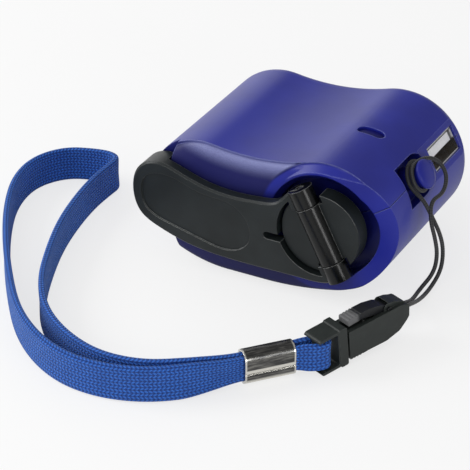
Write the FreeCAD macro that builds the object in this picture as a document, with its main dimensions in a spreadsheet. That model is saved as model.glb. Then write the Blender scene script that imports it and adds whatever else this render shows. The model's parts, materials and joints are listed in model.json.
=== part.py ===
import FreeCAD, Part
import math
import os
import re

from FreeCAD import Placement, Rotation, Vector

# Hand crank phone charger: a two-shell casing with a generator, a gear train, a folding
# crank with a finger knob, a charging socket and a wrist lanyard.
# Frame: +X towards the socket, -Y towards the crank, +Z up; the origin is at the middle
# of the charger's footprint, on the surface it stands on.

SIZES = {
    # casing
    "hub_x": 15.0, "hub_z": 16.6, "right_lobe_radius": 15.0, "left_lobe_radius": 14.0,
    "left_end_x": -28.3, "waist_radius": 50.0, "belly": 1.6, "left_foot_radius": 12.0,
    "foot_left": -8.0, "foot_right": 1.0, "wall": 2.0,
    "casing_back": 24.0, "casing_front": -18.0, "boss_front": -19.8, "collar_front": -19.7,
    "back_rounding": 4.0, "collar_base_radius": 14.95, "collar_lip_radius": 13.3,
    "pocket_radius": 11.6, "pocket_mouth_radius": 12.9, "pocket_floor": -14.5,
    "knob_path_radius": 37.6, "knob_path_floor": -16.7, "shell_gap": 0.12,
    "split_tilt": 28.5, "split_left_z": 14.8,
    # crank
    "hinge_y": -21.3, "hinge_tilt": 27.3, "knuckle_radius": 2.7, "barrel_half": 6.6,
    "knuckle_inner": 6.8, "knuckle_outer": 10.9, "disc_radius": 9.0, "disc_front": -21.4,
    "disc_back": -17.4, "disc_notch_start": 6.5, "disc_notch_half": 3.7,
    "hub_boss_radius": 4.6, "hub_boss_back": -14.8, "hinge_pin_radius": 0.9,
    "hinge_running_radius": 0.96, "arm_front": -22.6, "arm_back": -20.1,
    "arm_recess_depth": 0.35, "arm_bevel": 0.4, "tip_back": -17.0, "tip_start_radius": 38.0,
    "fork_radius": 9.6, "fork_neck": 3.2, "slot_width": 1.7, "slot_end": 12.8,
    "knob_offset": 41.1, "knob_drop": 0.2, "knob_radius": 2.6, "knob_well_radius": 2.9,
    "knob_well_floor": -21.5, "knob_post_radius": 1.1, "knob_bore_radius": 1.17,
    # gear train
    "shaft_radius": 1.5, "bush_bore_radius": 1.56, "bush_radius": 3.0,
    "tooth_module": 0.5, "tooth_thinning": 0.05, "drive_teeth": 36, "first_wheel_teeth": 32,
    "second_wheel_teeth": 28, "pinion_teeth": 10, "motor_pinion_teeth": 8,
    "axle_radius": 0.75, "axle_bore_radius": 0.81,
    "front_plate_front": -12.3, "front_plate_back": -11.2,
    "back_plate_front": -3.7, "back_plate_back": -2.4,
    "drive_gear_front": -10.8, "first_wheel_front": -8.5, "second_wheel_front": -6.3,
    "face_width": 1.9, "pillar_radius": 1.1, "spigot_radius": 0.7,
    # generator
    "can_radius": 10.0, "can_flat": 7.6, "can_length": 20.5, "can_wall": 0.7,
    "rotor_shaft_radius": 1.0, "end_cap_thickness": 2.6,
    # socket, board and window
    "socket_width": 13.1, "socket_height": 5.7, "socket_depth": 14.0, "socket_skin": 0.4,
    "socket_y": 13.8, "facet_distance": 14.4, "facet_start": 3.6, "board_thickness": 1.1,
    "window_x": 16.5, "window_y": -0.4, "window_length": 6.2, "window_width": 3.0,
    # lanyard post
    "post_y": -0.4, "post_neck_radius": 2.6, "post_head_radius": 3.3, "post_floor": 10.9,
    "post_top": 14.9, "notch_half": 4.7, "notch_front": -7.4, "notch_back": 4.9,
    # lanyard
    "string_diameter": 1.0, "strap_width": 8.2, "strap_thickness": 1.4, "tab_width": 6.4,
    "tab_thickness": 1.1, "buckle_x": 28.4, "buckle_y": -41.2, "buckle_middle": 5.0,
    "buckle_turn": 66.0, "buckle_pitch": 5.7, "buckle_half": 2.6, "channel_half": 1.6,
    "lever_half": 1.48, "lever_pin_radius": 0.55, "lever_pivot_along": 13.0,
    "lever_pivot_up": 2.6, "flange_half": 2.6, "frame_half": 2.5, "bar_half": 0.5,
    "tongue_half": 1.35, "crimp_x": 18.7, "crimp_y": -52.7, "crimp_turn": 48.5,
    "crimp_middle": 4.15, "crimp_length": 10.9, "crimp_height": 7.4, "crimp_thickness": 4.4,
    "crimp_wall": 0.5,
}

X_AXIS = Vector(1, 0, 0)
Y_AXIS = Vector(0, 1, 0)
Z_AXIS = Vector(0, 0, 1)

doc = FreeCAD.newDocument("crank_charger")
nodes = []


def make_sheet():
    sheet = doc.addObject("Spreadsheet::Sheet", "Sizes")
    for row, (name, value) in enumerate(SIZES.items(), start=1):
        sheet.set(f"A{row}", name)
        sheet.set(f"B{row}", str(value))
        sheet.setAlias(f"B{row}", name)
    doc.recompute()
    return sheet


sheet = make_sheet()


def size(name):
    return float(sheet.get(name))


def cell(text):
    """Turns 'a - b' into an expression on the sheet's cells."""
    return re.sub(r"[a-z]\w*", lambda word: f"Sizes.{word.group(0)}", text)


def bind(thing, **formulas):
    for prop, formula in formulas.items():
        thing.setExpression(prop, cell(formula))


def finish(thing, label):
    thing.Label = label
    nodes.append(thing)
    return thing


# ---- solids ----------------------------------------------------------------------------

def cylinder(name, radius, length, base, axis=Y_AXIS):
    thing = doc.addObject("Part::Cylinder", name)
    bind(thing, Radius=radius, Height=length)
    thing.Placement = Placement(base, Rotation(Z_AXIS, axis))
    return thing


def cone(name, radius_a, radius_b, length, base, axis=Y_AXIS):
    thing = doc.addObject("Part::Cone", name)
    bind(thing, Radius1=radius_a, Radius2=radius_b, Height=length)
    thing.Placement = Placement(base, Rotation(Z_AXIS, axis))
    return thing


def box(name, length, width, height, placement):
    thing = doc.addObject("Part::Box", name)
    bind(thing, Length=length, Width=width, Height=height)
    thing.Placement = placement
    return thing


def fuse(name, *things):
    thing = doc.addObject("Part::MultiFuse", name)
    thing.Shapes = list(things)
    return thing


def cut(name, base, *tools):
    thing = doc.addObject("Part::Cut", name)
    thing.Base = base
    thing.Tool = tools[0] if len(tools) == 1 else fuse(name + "_tools", *tools)
    return thing


def common(name, first, second):
    thing = doc.addObject("Part::MultiCommon", name)
    thing.Shapes = [first, second]
    return thing


def fixed_shape(name, shape):
    thing = doc.addObject("Part::Feature", name)
    thing.Shape = shape
    return thing


# ---- profiles --------------------------------------------------------------------------

def line(a, b):
    return Part.LineSegment(Vector(*a, 0), Vector(*b, 0))


def arc3(a, b, c):
    return Part.Arc(Vector(*a, 0), Vector(*b, 0), Vector(*c, 0))


def ring(x, z, radius):
    return Part.Circle(Vector(x, z, 0), Z_AXIS, radius)


def rounded(points, radius):
    """A closed outline of straight sides with its corners rounded."""
    radii = radius if isinstance(radius, (list, tuple)) else [radius] * len(points)
    corners = []
    for i, (x, z) in enumerate(points):
        here = Vector(x, z, 0)
        before = (Vector(*points[i - 1], 0) - here).normalize()
        after = (Vector(*points[(i + 1) % len(points)], 0) - here).normalize()
        half = before.getAngle(after) / 2
        reach = radii[i] / math.tan(half)
        middle = here + (before + after).normalize() * (radii[i] / math.sin(half) - radii[i])
        corners.append((here + before * reach, middle, here + after * reach))
    edges = []
    for i, (start, middle, end) in enumerate(corners):
        previous = corners[i - 1][2]
        if (start - previous).Length > 1e-6:
            edges.append(Part.LineSegment(previous, start))
        edges.append(Part.Arc(start, middle, end))
    return edges


def polygon(points):
    return [line(points[i - 1], points[i]) for i in range(len(points))]


def sketch_in(body, name, role, offset, edges):
    plane = [f for f in body.Origin.OriginFeatures if f.Role == role][0]
    sketch = body.newObject("Sketcher::SketchObject", name)
    sketch.AttachmentSupport = [(plane, "")]
    sketch.MapMode = "FlatFace"
    sketch.AttachmentOffset = Placement(Vector(0, 0, offset), Rotation())
    for edge in edges:
        sketch.addGeometry(edge, False)
    return sketch


def new_body(name):
    return doc.addObject("PartDesign::Body", name)


def pad_y(body, name, edges, back, front):
    """Pads an X-Z profile from the depth named back to the depth named front."""
    sketch = sketch_in(body, name + "_profile", "XZ_Plane", -size(back), edges)
    bind(sketch, **{"AttachmentOffset.Base.z": f"-1 * ({back})"})
    pad = body.newObject("PartDesign::Pad", name)
    pad.Profile = sketch
    bind(pad, Length=f"({back}) - ({front})")
    return pad


def pocket_y(body, name, edges, front, back):
    """Cuts an X-Z profile from the depth named front backwards to the depth named back."""
    sketch = sketch_in(body, name + "_profile", "XZ_Plane", -size(front), edges)
    bind(sketch, **{"AttachmentOffset.Base.z": f"-1 * ({front})"})
    pocket = body.newObject("PartDesign::Pocket", name)
    pocket.Profile = sketch
    bind(pocket, Length=f"({back}) - ({front})")
    return pocket


def edges_at(shape, test):
    return [f"Edge{i}" for i, edge in enumerate(shape.Edges, start=1) if test(edge)]


def round_edges(body, name, test, radius):
    doc.recompute()
    base = body.Tip
    fillet = body.newObject("PartDesign::Fillet", name)
    fillet.Base = (base, edges_at(base.Shape, test))
    bind(fillet, Radius=radius)
    return fillet


def bevel_edges(body, name, test, width):
    doc.recompute()
    base = body.Tip
    chamfer = body.newObject("PartDesign::Chamfer", name)
    chamfer.Base = (base, edges_at(base.Shape, test))
    bind(chamfer, Size=width)
    return chamfer


# ---- places ----------------------------------------------------------------------------

def hub(y):
    return Vector(size("hub_x"), y, size("hub_z"))


def hinge_direction():
    tilt = math.radians(size("hinge_tilt"))
    return Vector(-math.sin(tilt), 0, math.cos(tilt))


def on_hinge(along):
    return hub(size("hinge_y")) + hinge_direction() * along


def fork_point(across, along):
    """A point of the crank's face: across the hinge to the left, along it upwards."""
    up = hinge_direction()
    return (size("hub_x") - up.z * across + up.x * along,
            size("hub_z") + up.x * across + up.z * along)


def outward(angle=None):
    tilt = math.radians(size("split_tilt") if angle is None else angle)
    return Vector(math.cos(tilt), 0, math.sin(tilt))


def lifted():
    tilt = math.radians(size("split_tilt"))
    return Vector(-math.sin(tilt), 0, math.cos(tilt))


def at_socket(out, y, up):
    """A point measured outwards from the hub axis along the tilted split, and up from it."""
    return hub(y) + outward() * out + lifted() * up


def tilted(out, y, up):
    return Placement(at_socket(out, y, up), Rotation(Y_AXIS, -size("split_tilt")))


# ---- casing ----------------------------------------------------------------------------

def belly_arc(lobe, radius, foot):
    """The arc from the level foot to a lobe, tangent to both: its centre, radius and the touch."""
    rise = lobe.y - foot.y
    bend = ((lobe.x - foot.x) ** 2 + rise ** 2 - radius ** 2) / (2 * (rise - radius))
    centre = foot + Vector(0, bend, 0)
    aim = (lobe - centre).normalize()
    middle = (aim - Vector(0, 1, 0)).normalize()
    return centre + middle * bend, centre + aim * bend


def casing_outline(base=0.0, top=0.0, side=0.0):
    """The two-lobed end view, drawn in by these amounts: two lobes, a waist and a soft belly."""
    inset = (base + top) / 2
    right_r = size("right_lobe_radius") - inset
    left_r = size("left_lobe_radius") - inset
    corner_r = size("left_foot_radius") - inset
    lift = size("belly") + base
    left_x = size("left_end_x") + side
    right_c = Vector(size("hub_x") + size("right_lobe_radius") - side - right_r, lift + right_r, 0)
    left_c = Vector(left_x + left_r, lift + left_r, 0)
    corner_c = Vector(left_x + corner_r, lift + corner_r, 0)
    waist_r = size("waist_radius") + top
    span = right_c - left_c
    far_left = left_r + waist_r
    far_right = right_r + waist_r
    along = (far_left ** 2 - far_right ** 2 + span.Length ** 2) / (2 * span.Length)
    aside = math.sqrt(far_left ** 2 - along ** 2)
    unit = Vector(span).normalize()
    waist_c = left_c + unit * along + Vector(-unit.y, unit.x, 0) * aside
    left_top = left_c + (waist_c - left_c).normalize() * left_r
    right_top = right_c + (waist_c - right_c).normalize() * right_r
    left_foot = Vector(size("foot_left"), base, 0)
    right_foot = Vector(size("foot_right"), base, 0)
    right_belly, right_touch = belly_arc(right_c, right_r, right_foot)
    left_belly, left_touch = belly_arc(corner_c, corner_r, left_foot)
    left_upper = left_c + Vector(-1, 1, 0).normalize() * left_r
    left_corner = corner_c + Vector(-1, -1, 0).normalize() * corner_r
    dip = waist_c - Vector(0, waist_r, 0)
    return [
        Part.LineSegment(left_foot, right_foot),
        Part.Arc(right_foot, right_belly, right_touch),
        Part.Arc(right_touch, right_c + Vector(right_r, 0, 0), right_top),
        Part.Arc(right_top, dip, left_top),
        Part.Arc(left_top, left_upper, left_c - Vector(left_r, 0, 0)),
        Part.LineSegment(left_c - Vector(left_r, 0, 0), corner_c - Vector(corner_r, 0, 0)),
        Part.Arc(corner_c - Vector(corner_r, 0, 0), left_corner, left_touch),
        Part.Arc(left_touch, left_belly, left_foot),
    ]


def outline_sketch(name, y, **inset):
    sketch = doc.addObject("Sketcher::SketchObject", name)
    sketch.Placement = Placement(Vector(0, y, 0), Rotation(X_AXIS, 90))
    for edge in casing_outline(**inset):
        sketch.addGeometry(edge, False)
    return sketch


def casing_block():
    body = new_body("casing_block")
    pad_y(body, "block", casing_outline(), "casing_back", "casing_front")
    back = size("casing_back")
    round_edges(body, "back_edge", lambda e: e.BoundBox.YMin > back - 0.01, "back_rounding")
    return body


def front_band():
    """The soft rolled front below the top edge, nearly square along the belly."""
    front = size("casing_front")
    reach = front - size("boss_front")
    steps = [(-0.5, 0.6, 0.1), (0.55, 1.3, 0.2), (0.85, 2.8, 0.5), (0.97, 5.0, 0.9), (1.0, 7.6, 1.3)]
    sections = []
    for number, (share, roll, foot) in enumerate(steps):
        sketch = outline_sketch(f"band_{number}", front - reach * share, base=foot, top=roll, side=roll)
        sections.append(sketch)
    band = doc.addObject("Part::Loft", "front_band")
    band.Sections = sections
    band.Solid = True
    band.Ruled = False
    return band


def collar():
    front = size("collar_front")
    ring_base = "collar_base_radius"
    return cone("collar", "collar_lip_radius", ring_base, "casing_front - collar_front", hub(front))


def bow_cutter():
    """Everything in front of the casing's bowed right-hand end, in plan."""
    body = new_body("bow_cutter")
    edges = [
        arc3((12.0, -19.81), (22.5, -18.4), (30.3, -14.4)),
        line((30.3, -14.4), (40.0, -14.4)),
        line((40.0, -14.4), (40.0, -30.0)),
        line((40.0, -30.0), (12.0, -30.0)),
        line((12.0, -30.0), (12.0, -19.81)),
    ]
    sketch = sketch_in(body, "bow_profile", "XY_Plane", -5.0, edges)
    pad = body.newObject("PartDesign::Pad", "bow")
    pad.Profile = sketch
    pad.Length = 45.0
    return body


def knob_path_cutter(name, radius, floor):
    """The ring that the crank's thick tip and knob sweep in front of the left end."""
    slab = box(name + "_slab", "120", f"30 + {floor}", "120",
               Placement(Vector(-90, -30, -45), Rotation()))
    disc = cylinder(name + "_disc", radius, "80", hub(-40))
    return cut(name, slab, disc)


def pocket_cutter():
    bore = cylinder("pocket_bore", "pocket_radius", "40 + pocket_floor", hub(-40))
    mouth = cone("pocket_mouth", "pocket_mouth_radius", "pocket_radius", "1.5",
                 hub(size("boss_front") - 0.05))
    return fuse("pocket_cutter", bore, mouth)


def cavity():
    body = new_body("cavity_body")
    inset = size("wall")
    outline = casing_outline(base=inset, top=inset, side=inset)
    pad_y(body, "cavity_pad", outline, "casing_back", "casing_front")
    back_slab = box("cavity_back", "100", "10", "60",
                    Placement(Vector(-50, size("casing_back") - inset, -10), Rotation()))
    cup = cylinder("pocket_cup", "pocket_radius + wall", "30 + pocket_floor + wall", hub(-30))
    keeper = box("notch_keeper", "20", "notch_back - notch_front + 2.8", "notch_half * 2 + 3",
                 tilted(9.4, size("notch_front") - 1.2, -size("notch_half") - 1.5))
    tip_wall = knob_path_cutter("tip_wall", "knob_path_radius - wall", "knob_path_floor + wall")
    return cut("cavity", body, back_slab, cup, keeper, tip_wall)


def window_cutter(name, grow, low, high):
    """The window's oval, grown by an amount, between two heights above the hub."""
    half = size("window_length") / 2 - size("window_width") / 2
    body = new_body(name + "_body")
    x, y = size("window_x"), size("window_y")
    radius = size("window_width") / 2 + grow
    edges = [
        line((x - half, y - radius), (x + half, y - radius)),
        arc3((x + half, y - radius), (x + half + radius, y), (x + half, y + radius)),
        line((x + half, y + radius), (x - half, y + radius)),
        arc3((x - half, y + radius), (x - half - radius, y), (x - half, y - radius)),
    ]
    sketch = sketch_in(body, name + "_profile", "XY_Plane", size("hub_z") + low, edges)
    pad = body.newObject("PartDesign::Pad", name)
    pad.Profile = sketch
    pad.Length = high - low
    return body


def socket_cutters():
    facet = box("facet", "10", "30", "20", tilted(size("facet_distance"), size("facet_start"), -10))
    mouth = box("socket_mouth", "12", "socket_width", "socket_height",
                tilted(8, size("socket_y") - size("socket_width") / 2, -size("socket_height") / 2))
    return [facet, mouth]


def notch_cutters():
    half = size("notch_half")
    trough = box("notch", "12", "notch_back - notch_front - notch_half", "notch_half * 2",
                 tilted(size("post_floor"), size("notch_front"), -half))
    end = cylinder("notch_end", "notch_half", "12",
                   at_socket(size("post_floor"), size("notch_back") - half, 0), outward())
    stem = cylinder("post_hole", "1.6", "4", at_socket(size("post_floor") - 3, size("post_y"), 0),
                    outward())
    return [trough, end, stem]


# Each screw's place in plan, and the height of its head's seat.
SCREWS = [(-22.0, -9.0, 5.6), (1.0, 12.5, 2.0), (1.0, 1.5, 2.0)]


def screw_posts():
    return [cylinder(f"screw_post_{i}", "2.6", "32", Vector(x, y, 0), Z_AXIS)
            for i, (x, y, seat) in enumerate(SCREWS)]


def screw_holes():
    holes = []
    for i, (x, y, seat) in enumerate(SCREWS):
        holes.append(cylinder(f"screw_bore_{i}", "0.9", "18.2", Vector(x, y, seat - 1), Z_AXIS))
        holes.append(cylinder(f"screw_seat_{i}", "2.0", f"{seat} + 1", Vector(x, y, -1), Z_AXIS))
    return holes


def split_tool(name, drop):
    """The space above the split: level on the left, tilted up from the hub axis to the right."""
    body = new_body(name)
    rise = math.tan(math.radians(size("split_tilt")))
    x, z = size("hub_x"), size("hub_z")
    corners = [(-40, size("split_left_z") - drop), (x, z - drop), (45, z - drop + rise * (45 - x)),
               (45, 60), (-40, 60)]
    sketch = sketch_in(body, name + "_profile", "XZ_Plane", -30, polygon(corners))
    pad = body.newObject("PartDesign::Pad", name + "_pad")
    pad.Profile = sketch
    pad.Length = 60
    return body


def casing():
    solid = fuse("casing_solid", casing_block(), front_band(), collar())
    bowed = cut("casing_bowed", solid, bow_cutter(), pocket_cutter(),
                knob_path_cutter("knob_path", "knob_path_radius", "knob_path_floor"))
    posts = common("inner_posts", fuse("post_set", *screw_posts()), casing_block_copy())
    room = cut("room", cavity(), posts)
    shaft_hole = cylinder("bush_hole", "bush_radius", "6", hub(size("pocket_floor") - 1))
    hollow = cut("casing_hollow", bowed, room, shaft_hole, window_cutter("window_hole", 0, 9, 19),
                 *socket_cutters(), *notch_cutters(), *screw_holes())
    upper = common("upper_shell", hollow, split_tool("above_split", 0))
    lower = cut("lower_shell", hollow, split_tool("above_gap", size("shell_gap")))
    finish(upper, "upper_shell")
    finish(lower, "lower_shell")


def casing_block_copy():
    body = new_body("post_limit")
    pad_y(body, "limit", casing_outline(base=1.0, top=1.0, side=1.0), "casing_back", "casing_front")
    return body


def case_screws():
    screws = []
    for i, (x, y, seat) in enumerate(SCREWS):
        low = seat - 1.2
        head = cylinder(f"screw_head_{i}", "1.9", "1.2", Vector(x, y, low), Z_AXIS)
        shank = cylinder(f"screw_shank_{i}", "0.9", "17", Vector(x, y, seat - 0.1), Z_AXIS)
        slot = box(f"screw_slot_{i}", "2.6", "0.5", "0.5",
                   Placement(Vector(x - 1.3, y - 0.25, low - 0.2), Rotation()))
        cross = box(f"screw_cross_{i}", "0.5", "2.6", "0.5",
                    Placement(Vector(x - 0.25, y - 1.3, low - 0.2), Rotation()))
        screws.append(cut(f"screw_{i}", fuse(f"screw_blank_{i}", head, shank), slot, cross))
    group = doc.addObject("Part::Compound", "case_screws")
    group.Links = screws
    finish(group, "case_screws")


# ---- crank -----------------------------------------------------------------------------

def crank_hub():
    disc = cylinder("disc", "disc_radius", "disc_back - disc_front", hub(size("disc_front")))
    boss = cylinder("hub_boss", "hub_boss_radius", "hub_boss_back - disc_back",
                    hub(size("disc_back")))
    barrel = cylinder("barrel", "knuckle_radius", "barrel_half * 2",
                      on_hinge(-size("barrel_half")), hinge_direction())
    notches = []
    turn = Rotation(Y_AXIS, -size("hinge_tilt"))
    for side in (1, -1):
        corner = hub(-30) + hinge_direction() * (side * 8.5) - turn.multVec(X_AXIS) * size("disc_notch_half")
        corner = corner - turn.multVec(Z_AXIS) * 2.0
        notch = box(f"disc_notch_{side + 1}", "disc_notch_half * 2", "20", "6", Placement(corner, turn))
        if side < 0:
            notch.Placement = Placement(corner - turn.multVec(Z_AXIS) * 2.0, turn)
        notches.append(notch)
    body = fuse("hub_blank", cut("disc_cut", disc, *notches), boss, barrel)
    bore = cylinder("hinge_bore", "hinge_running_radius", "30", on_hinge(-15), hinge_direction())
    socket = cylinder("shaft_socket", "shaft_radius", "hub_boss_back - disc_back + 1.2",
                      hub(size("disc_back") - 1.2))
    finish(cut("crank_hub", body, bore, socket), "crank_hub")


def arm_outline():
    """The paddle from the left, with its fork round the disc; X-Z points on the front face."""
    x, z = size("hub_x"), size("hub_z")
    inner, outer, neck = size("knuckle_inner"), size("knuckle_outer"), size("fork_neck")
    reach = math.sqrt(size("fork_radius") ** 2 - neck ** 2)
    top_end = fork_point(0, outer)
    top_inner = fork_point(0, inner)
    top_neck = fork_point(neck, inner)
    top_root = fork_point(neck, reach)
    low_root = fork_point(neck, -reach)
    low_neck = fork_point(neck, -inner)
    low_inner = fork_point(0, -inner)
    low_end = fork_point(0, -outer)
    middle = fork_point(size("fork_radius"), 0)
    top_edge = [top_end, fork_point(2.2, outer), (x - 9.8, z + 5.6), (x - 14.0, z + 4.5),
                (x - 20.0, z + 4.1), (x - 28.0, z + 5.0), (x - 34.0, z + 6.9), (x - 38.6, z + 7.9),
                (x - 42.9, z + 6.0), (x - 44.86, z - 0.3), (x - 42.9, z - 5.8), (x - 38.6, z - 8.3),
                (x - 31.0, z - 10.6), (x - 23.0, z - 11.5), (x - 13.0, z - 11.6),
                (x - 4.0, z - 11.5), (x + 1.6, z - 11.2), low_end]
    spline = Part.BSplineCurve()
    spline.interpolate([Vector(*p, 0) for p in top_edge])
    return [
        spline,
        line(low_end, low_inner),
        line(low_inner, low_neck),
        line(low_neck, low_root),
        arc3(low_root, middle, top_root),
        line(top_root, top_neck),
        line(top_neck, top_inner),
        line(top_inner, top_end),
    ]


def oval_recess():
    """The shallow sunk oval on the paddle's face."""
    x, z = size("hub_x"), size("hub_z")
    points = [(x - 42.6, z - 0.3), (x - 40.6, z + 4.4), (x - 36.0, z + 5.2), (x - 28.0, z + 3.0),
              (x - 20.0, z + 1.9), (x - 16.6, z - 1.6), (x - 16.4, z - 6.0), (x - 19.5, z - 8.8),
              (x - 28.0, z - 8.4), (x - 35.5, z - 6.6), (x - 40.6, z - 4.7)]
    spline = Part.BSplineCurve()
    spline.interpolate([Vector(*p, 0) for p in points], PeriodicFlag=True)
    return [spline]


def arm_slot():
    x, z = size("hub_x"), size("hub_z")
    middle, half = z - 3.0, size("slot_width") / 2
    start = x - size("fork_radius") + 1.6
    end = x - size("slot_end")
    return [
        line((start, middle - half), (end + half, middle - half)),
        arc3((end + half, middle - half), (end, middle), (end + half, middle + half)),
        line((end + half, middle + half), (start, middle + half)),
        line((start, middle + half), (start, middle - half)),
    ]


def knob_centre(y):
    return Vector(size("hub_x") - size("knob_offset"), y, size("hub_z") - size("knob_drop"))


def crank_arm():
    """The paddle with its bevelled rim, the thick tip over the casing's end, and two knuckles."""
    plate = new_body("arm_plate")
    pad_y(plate, "arm_pad", arm_outline(), "arm_back", "arm_front")
    front = size("arm_front")
    bevel_edges(plate, "arm_rim", lambda e: e.BoundBox.YMax < front + 0.01 and e.Length > 40, "arm_bevel")
    plate_tip = new_body("arm_tip")
    pad_y(plate_tip, "tip_pad", arm_outline(), "tip_back", "arm_back")
    inside = cylinder("tip_limit", "tip_start_radius", "60", hub(-40))
    tip = cut("tip_block", plate_tip, inside)
    knuckles = []
    for name, start in (("upper_knuckle", size("knuckle_inner")), ("lower_knuckle", -size("knuckle_outer"))):
        knuckles.append(cylinder(name, "knuckle_radius", "knuckle_outer - knuckle_inner",
                                 on_hinge(start), hinge_direction()))
    body = fuse("arm_blank", plate, tip, *knuckles)
    recess_tool = new_body("recess_tool")
    pad_y(recess_tool, "recess", oval_recess(), "arm_front", "arm_front - 2")
    recess_tool.Placement = Placement(Vector(0, size("arm_recess_depth"), 0), Rotation())
    slot_tool = new_body("slot_tool")
    pad_y(slot_tool, "slot", arm_slot(), "arm_back", "arm_front - 1")
    slot_tool.Placement = Placement(Vector(0, 0.5, 0), Rotation())
    well = cylinder("knob_well", "knob_well_radius", "10", knob_centre(size("knob_well_floor")))
    pin_bore = cylinder("pin_bore", "hinge_pin_radius", "30", on_hinge(-15), hinge_direction())
    dished = cut("arm_dished", body, recess_tool, slot_tool, well, pin_bore)
    post = cylinder("knob_post", "knob_post_radius", "tip_back - knob_well_floor - 1.0",
                    knob_centre(size("knob_well_floor")))
    drilled = cut("knob_post_drilled", post,
                  cylinder("knob_thread", "0.5", "3", knob_centre(size("tip_back") - 3.5)))
    finish(fuse("crank_arm", dished, drilled), "crank_arm")


def hinge_pin():
    finish(cylinder("hinge_pin", "hinge_pin_radius", "knuckle_outer * 2 - 0.3",
                    on_hinge(-size("knuckle_outer") + 0.15), hinge_direction()), "hinge_pin")


def finger_knob():
    """A low ribbed knob that turns on the arm's post, dished on its face."""
    floor = size("knob_well_floor") + 0.15
    blank = cylinder("knob_blank", "knob_radius", "tip_back - knob_well_floor - 0.15", knob_centre(floor))
    bore = cylinder("knob_bore", "knob_bore_radius", "10", knob_centre(floor - 1))
    seat = cylinder("knob_seat", "1.7", "3", knob_centre(size("tip_back") - 1.0))
    grooves = []
    for k in range(12):
        angle = math.radians(30 * k)
        reach = size("knob_radius") + 0.12
        spot = knob_centre(floor - 1) + Vector(math.cos(angle), 0, math.sin(angle)) * reach
        grooves.append(cylinder(f"knob_groove_{k}", "0.4", "10", spot))
    finish(cut("finger_knob", blank, bore, seat, *grooves), "finger_knob")


def knob_screw():
    head = cylinder("knob_screw_head", "1.55", "0.7", knob_centre(size("tip_back") - 1.0 + 0.08))
    shank = cylinder("knob_screw_shank", "0.5", "3", knob_centre(size("tip_back") - 3.5))
    slot = box("knob_screw_slot", "3.4", "1", "0.4",
               Placement(knob_centre(size("tip_back") - 0.55) - Vector(1.7, 0, 0.2), Rotation()))
    finish(cut("knob_screw", fuse("knob_screw_blank", head, shank), slot), "knob_screw")


# ---- gear train ------------------------------------------------------------------------

def gear_places():
    """Each axis in X-Z and the direction in degrees towards the next one."""
    module = size("tooth_module")
    steps = [
        ("drive_teeth", "pinion_teeth", 190.5),
        ("first_wheel_teeth", "pinion_teeth", 164.0),
        ("second_wheel_teeth", "motor_pinion_teeth", 190.0),
    ]
    places = [(size("hub_x"), size("hub_z"))]
    for wheel, pinion, heading in steps:
        reach = module * (size(wheel) + size(pinion)) / 2
        angle = math.radians(heading)
        x, z = places[-1]
        places.append((x + reach * math.cos(angle), z + reach * math.sin(angle)))
    return places, [step[2] for step in steps]


PLACES, HEADINGS = gear_places()


def involute(angle):
    return math.tan(angle) - angle


def tooth_outline(teeth, centre, phase):
    """Involute teeth of 20 degrees, with one tooth's middle at the phase angle."""
    module = size("tooth_module")
    pitch_r = module * teeth / 2
    base_r = pitch_r * math.cos(math.radians(20))
    tip_r = pitch_r + module
    root_r = pitch_r - 1.3 * module
    start_r = max(base_r, root_r)
    half = math.pi / 2 / teeth - size("tooth_thinning") / pitch_r + involute(math.radians(20))
    radii = [start_r, (start_r + tip_r) / 2, tip_r]
    swings = [half - involute(math.acos(min(1.0, base_r / r))) for r in radii]
    points = []
    for k in range(int(teeth)):
        middle = math.radians(phase + 360.0 * k / teeth)
        flank = list(zip(radii, swings))
        if root_r < base_r:
            flank = [(root_r, swings[0])] + flank
        for radius, swing in flank:
            points.append((radius, middle - swing))
        for radius, swing in reversed(flank):
            points.append((radius, middle + swing))
    return [(centre[0] + r * math.cos(a), centre[1] + r * math.sin(a)) for r, a in points]


def wheel(name, teeth, place, phase, front, width="face_width"):
    body = new_body(name)
    points = tooth_outline(size(teeth), place, phase)
    sketch = sketch_in(body, name + "_teeth", "XZ_Plane", -size(front), polygon(points))
    pad = body.newObject("PartDesign::Pad", name + "_pad")
    pad.Profile = sketch
    pad.Reversed = True
    bind(pad, Length=width)
    return body


def axis_point(index, y):
    x, z = PLACES[index]
    return Vector(x, y, z)


def crank_shaft():
    front = size("disc_back") - 1.2
    finish(cylinder("crank_shaft", "shaft_radius", f"back_plate_back - 0.2 - disc_back + 1.2",
                    hub(front)), "crank_shaft")


def shaft_bush():
    sleeve = cylinder("bush_sleeve", "bush_radius", "2.2", hub(size("pocket_floor") - 0.1))
    bore = cylinder("bush_bore", "bush_bore_radius", "10", hub(size("pocket_floor") - 2))
    finish(cut("shaft_bush", sleeve, bore), "shaft_bush")


def drive_gear():
    teeth = wheel("drive_wheel", "drive_teeth", PLACES[0], HEADINGS[0], "drive_gear_front")
    boss = cylinder("drive_boss", "3", "5", axis_point(0, size("drive_gear_front")))
    bore = cylinder("drive_bore", "shaft_radius", "20", axis_point(0, -15))
    windows = []
    for k in range(5):
        angle = math.radians(72 * k)
        spot = axis_point(0, -15) + Vector(math.cos(angle), 0, math.sin(angle)) * 5.4
        windows.append(cylinder(f"drive_window_{k}", "1.7", "20", spot))
    finish(cut("drive_gear", fuse("drive_blank", teeth, boss), bore, *windows), "drive_gear")


def compound_gear(label, index, wheel_teeth, wheel_front, pinion_front, pinion_length):
    """A large wheel with the small pinion that the gear before it drives."""
    pinion_phase = HEADINGS[index - 1] + 180 + 180 / size("pinion_teeth")
    big = wheel(label + "_wheel", wheel_teeth, PLACES[index], HEADINGS[index], wheel_front)
    small = wheel(label + "_pinion", "pinion_teeth", PLACES[index], pinion_phase, pinion_front,
                  pinion_length)
    bore = cylinder(label + "_bore", "axle_bore_radius", "20", axis_point(index, -15))
    finish(cut(label, fuse(label + "_blank", big, small), bore), label)


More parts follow.
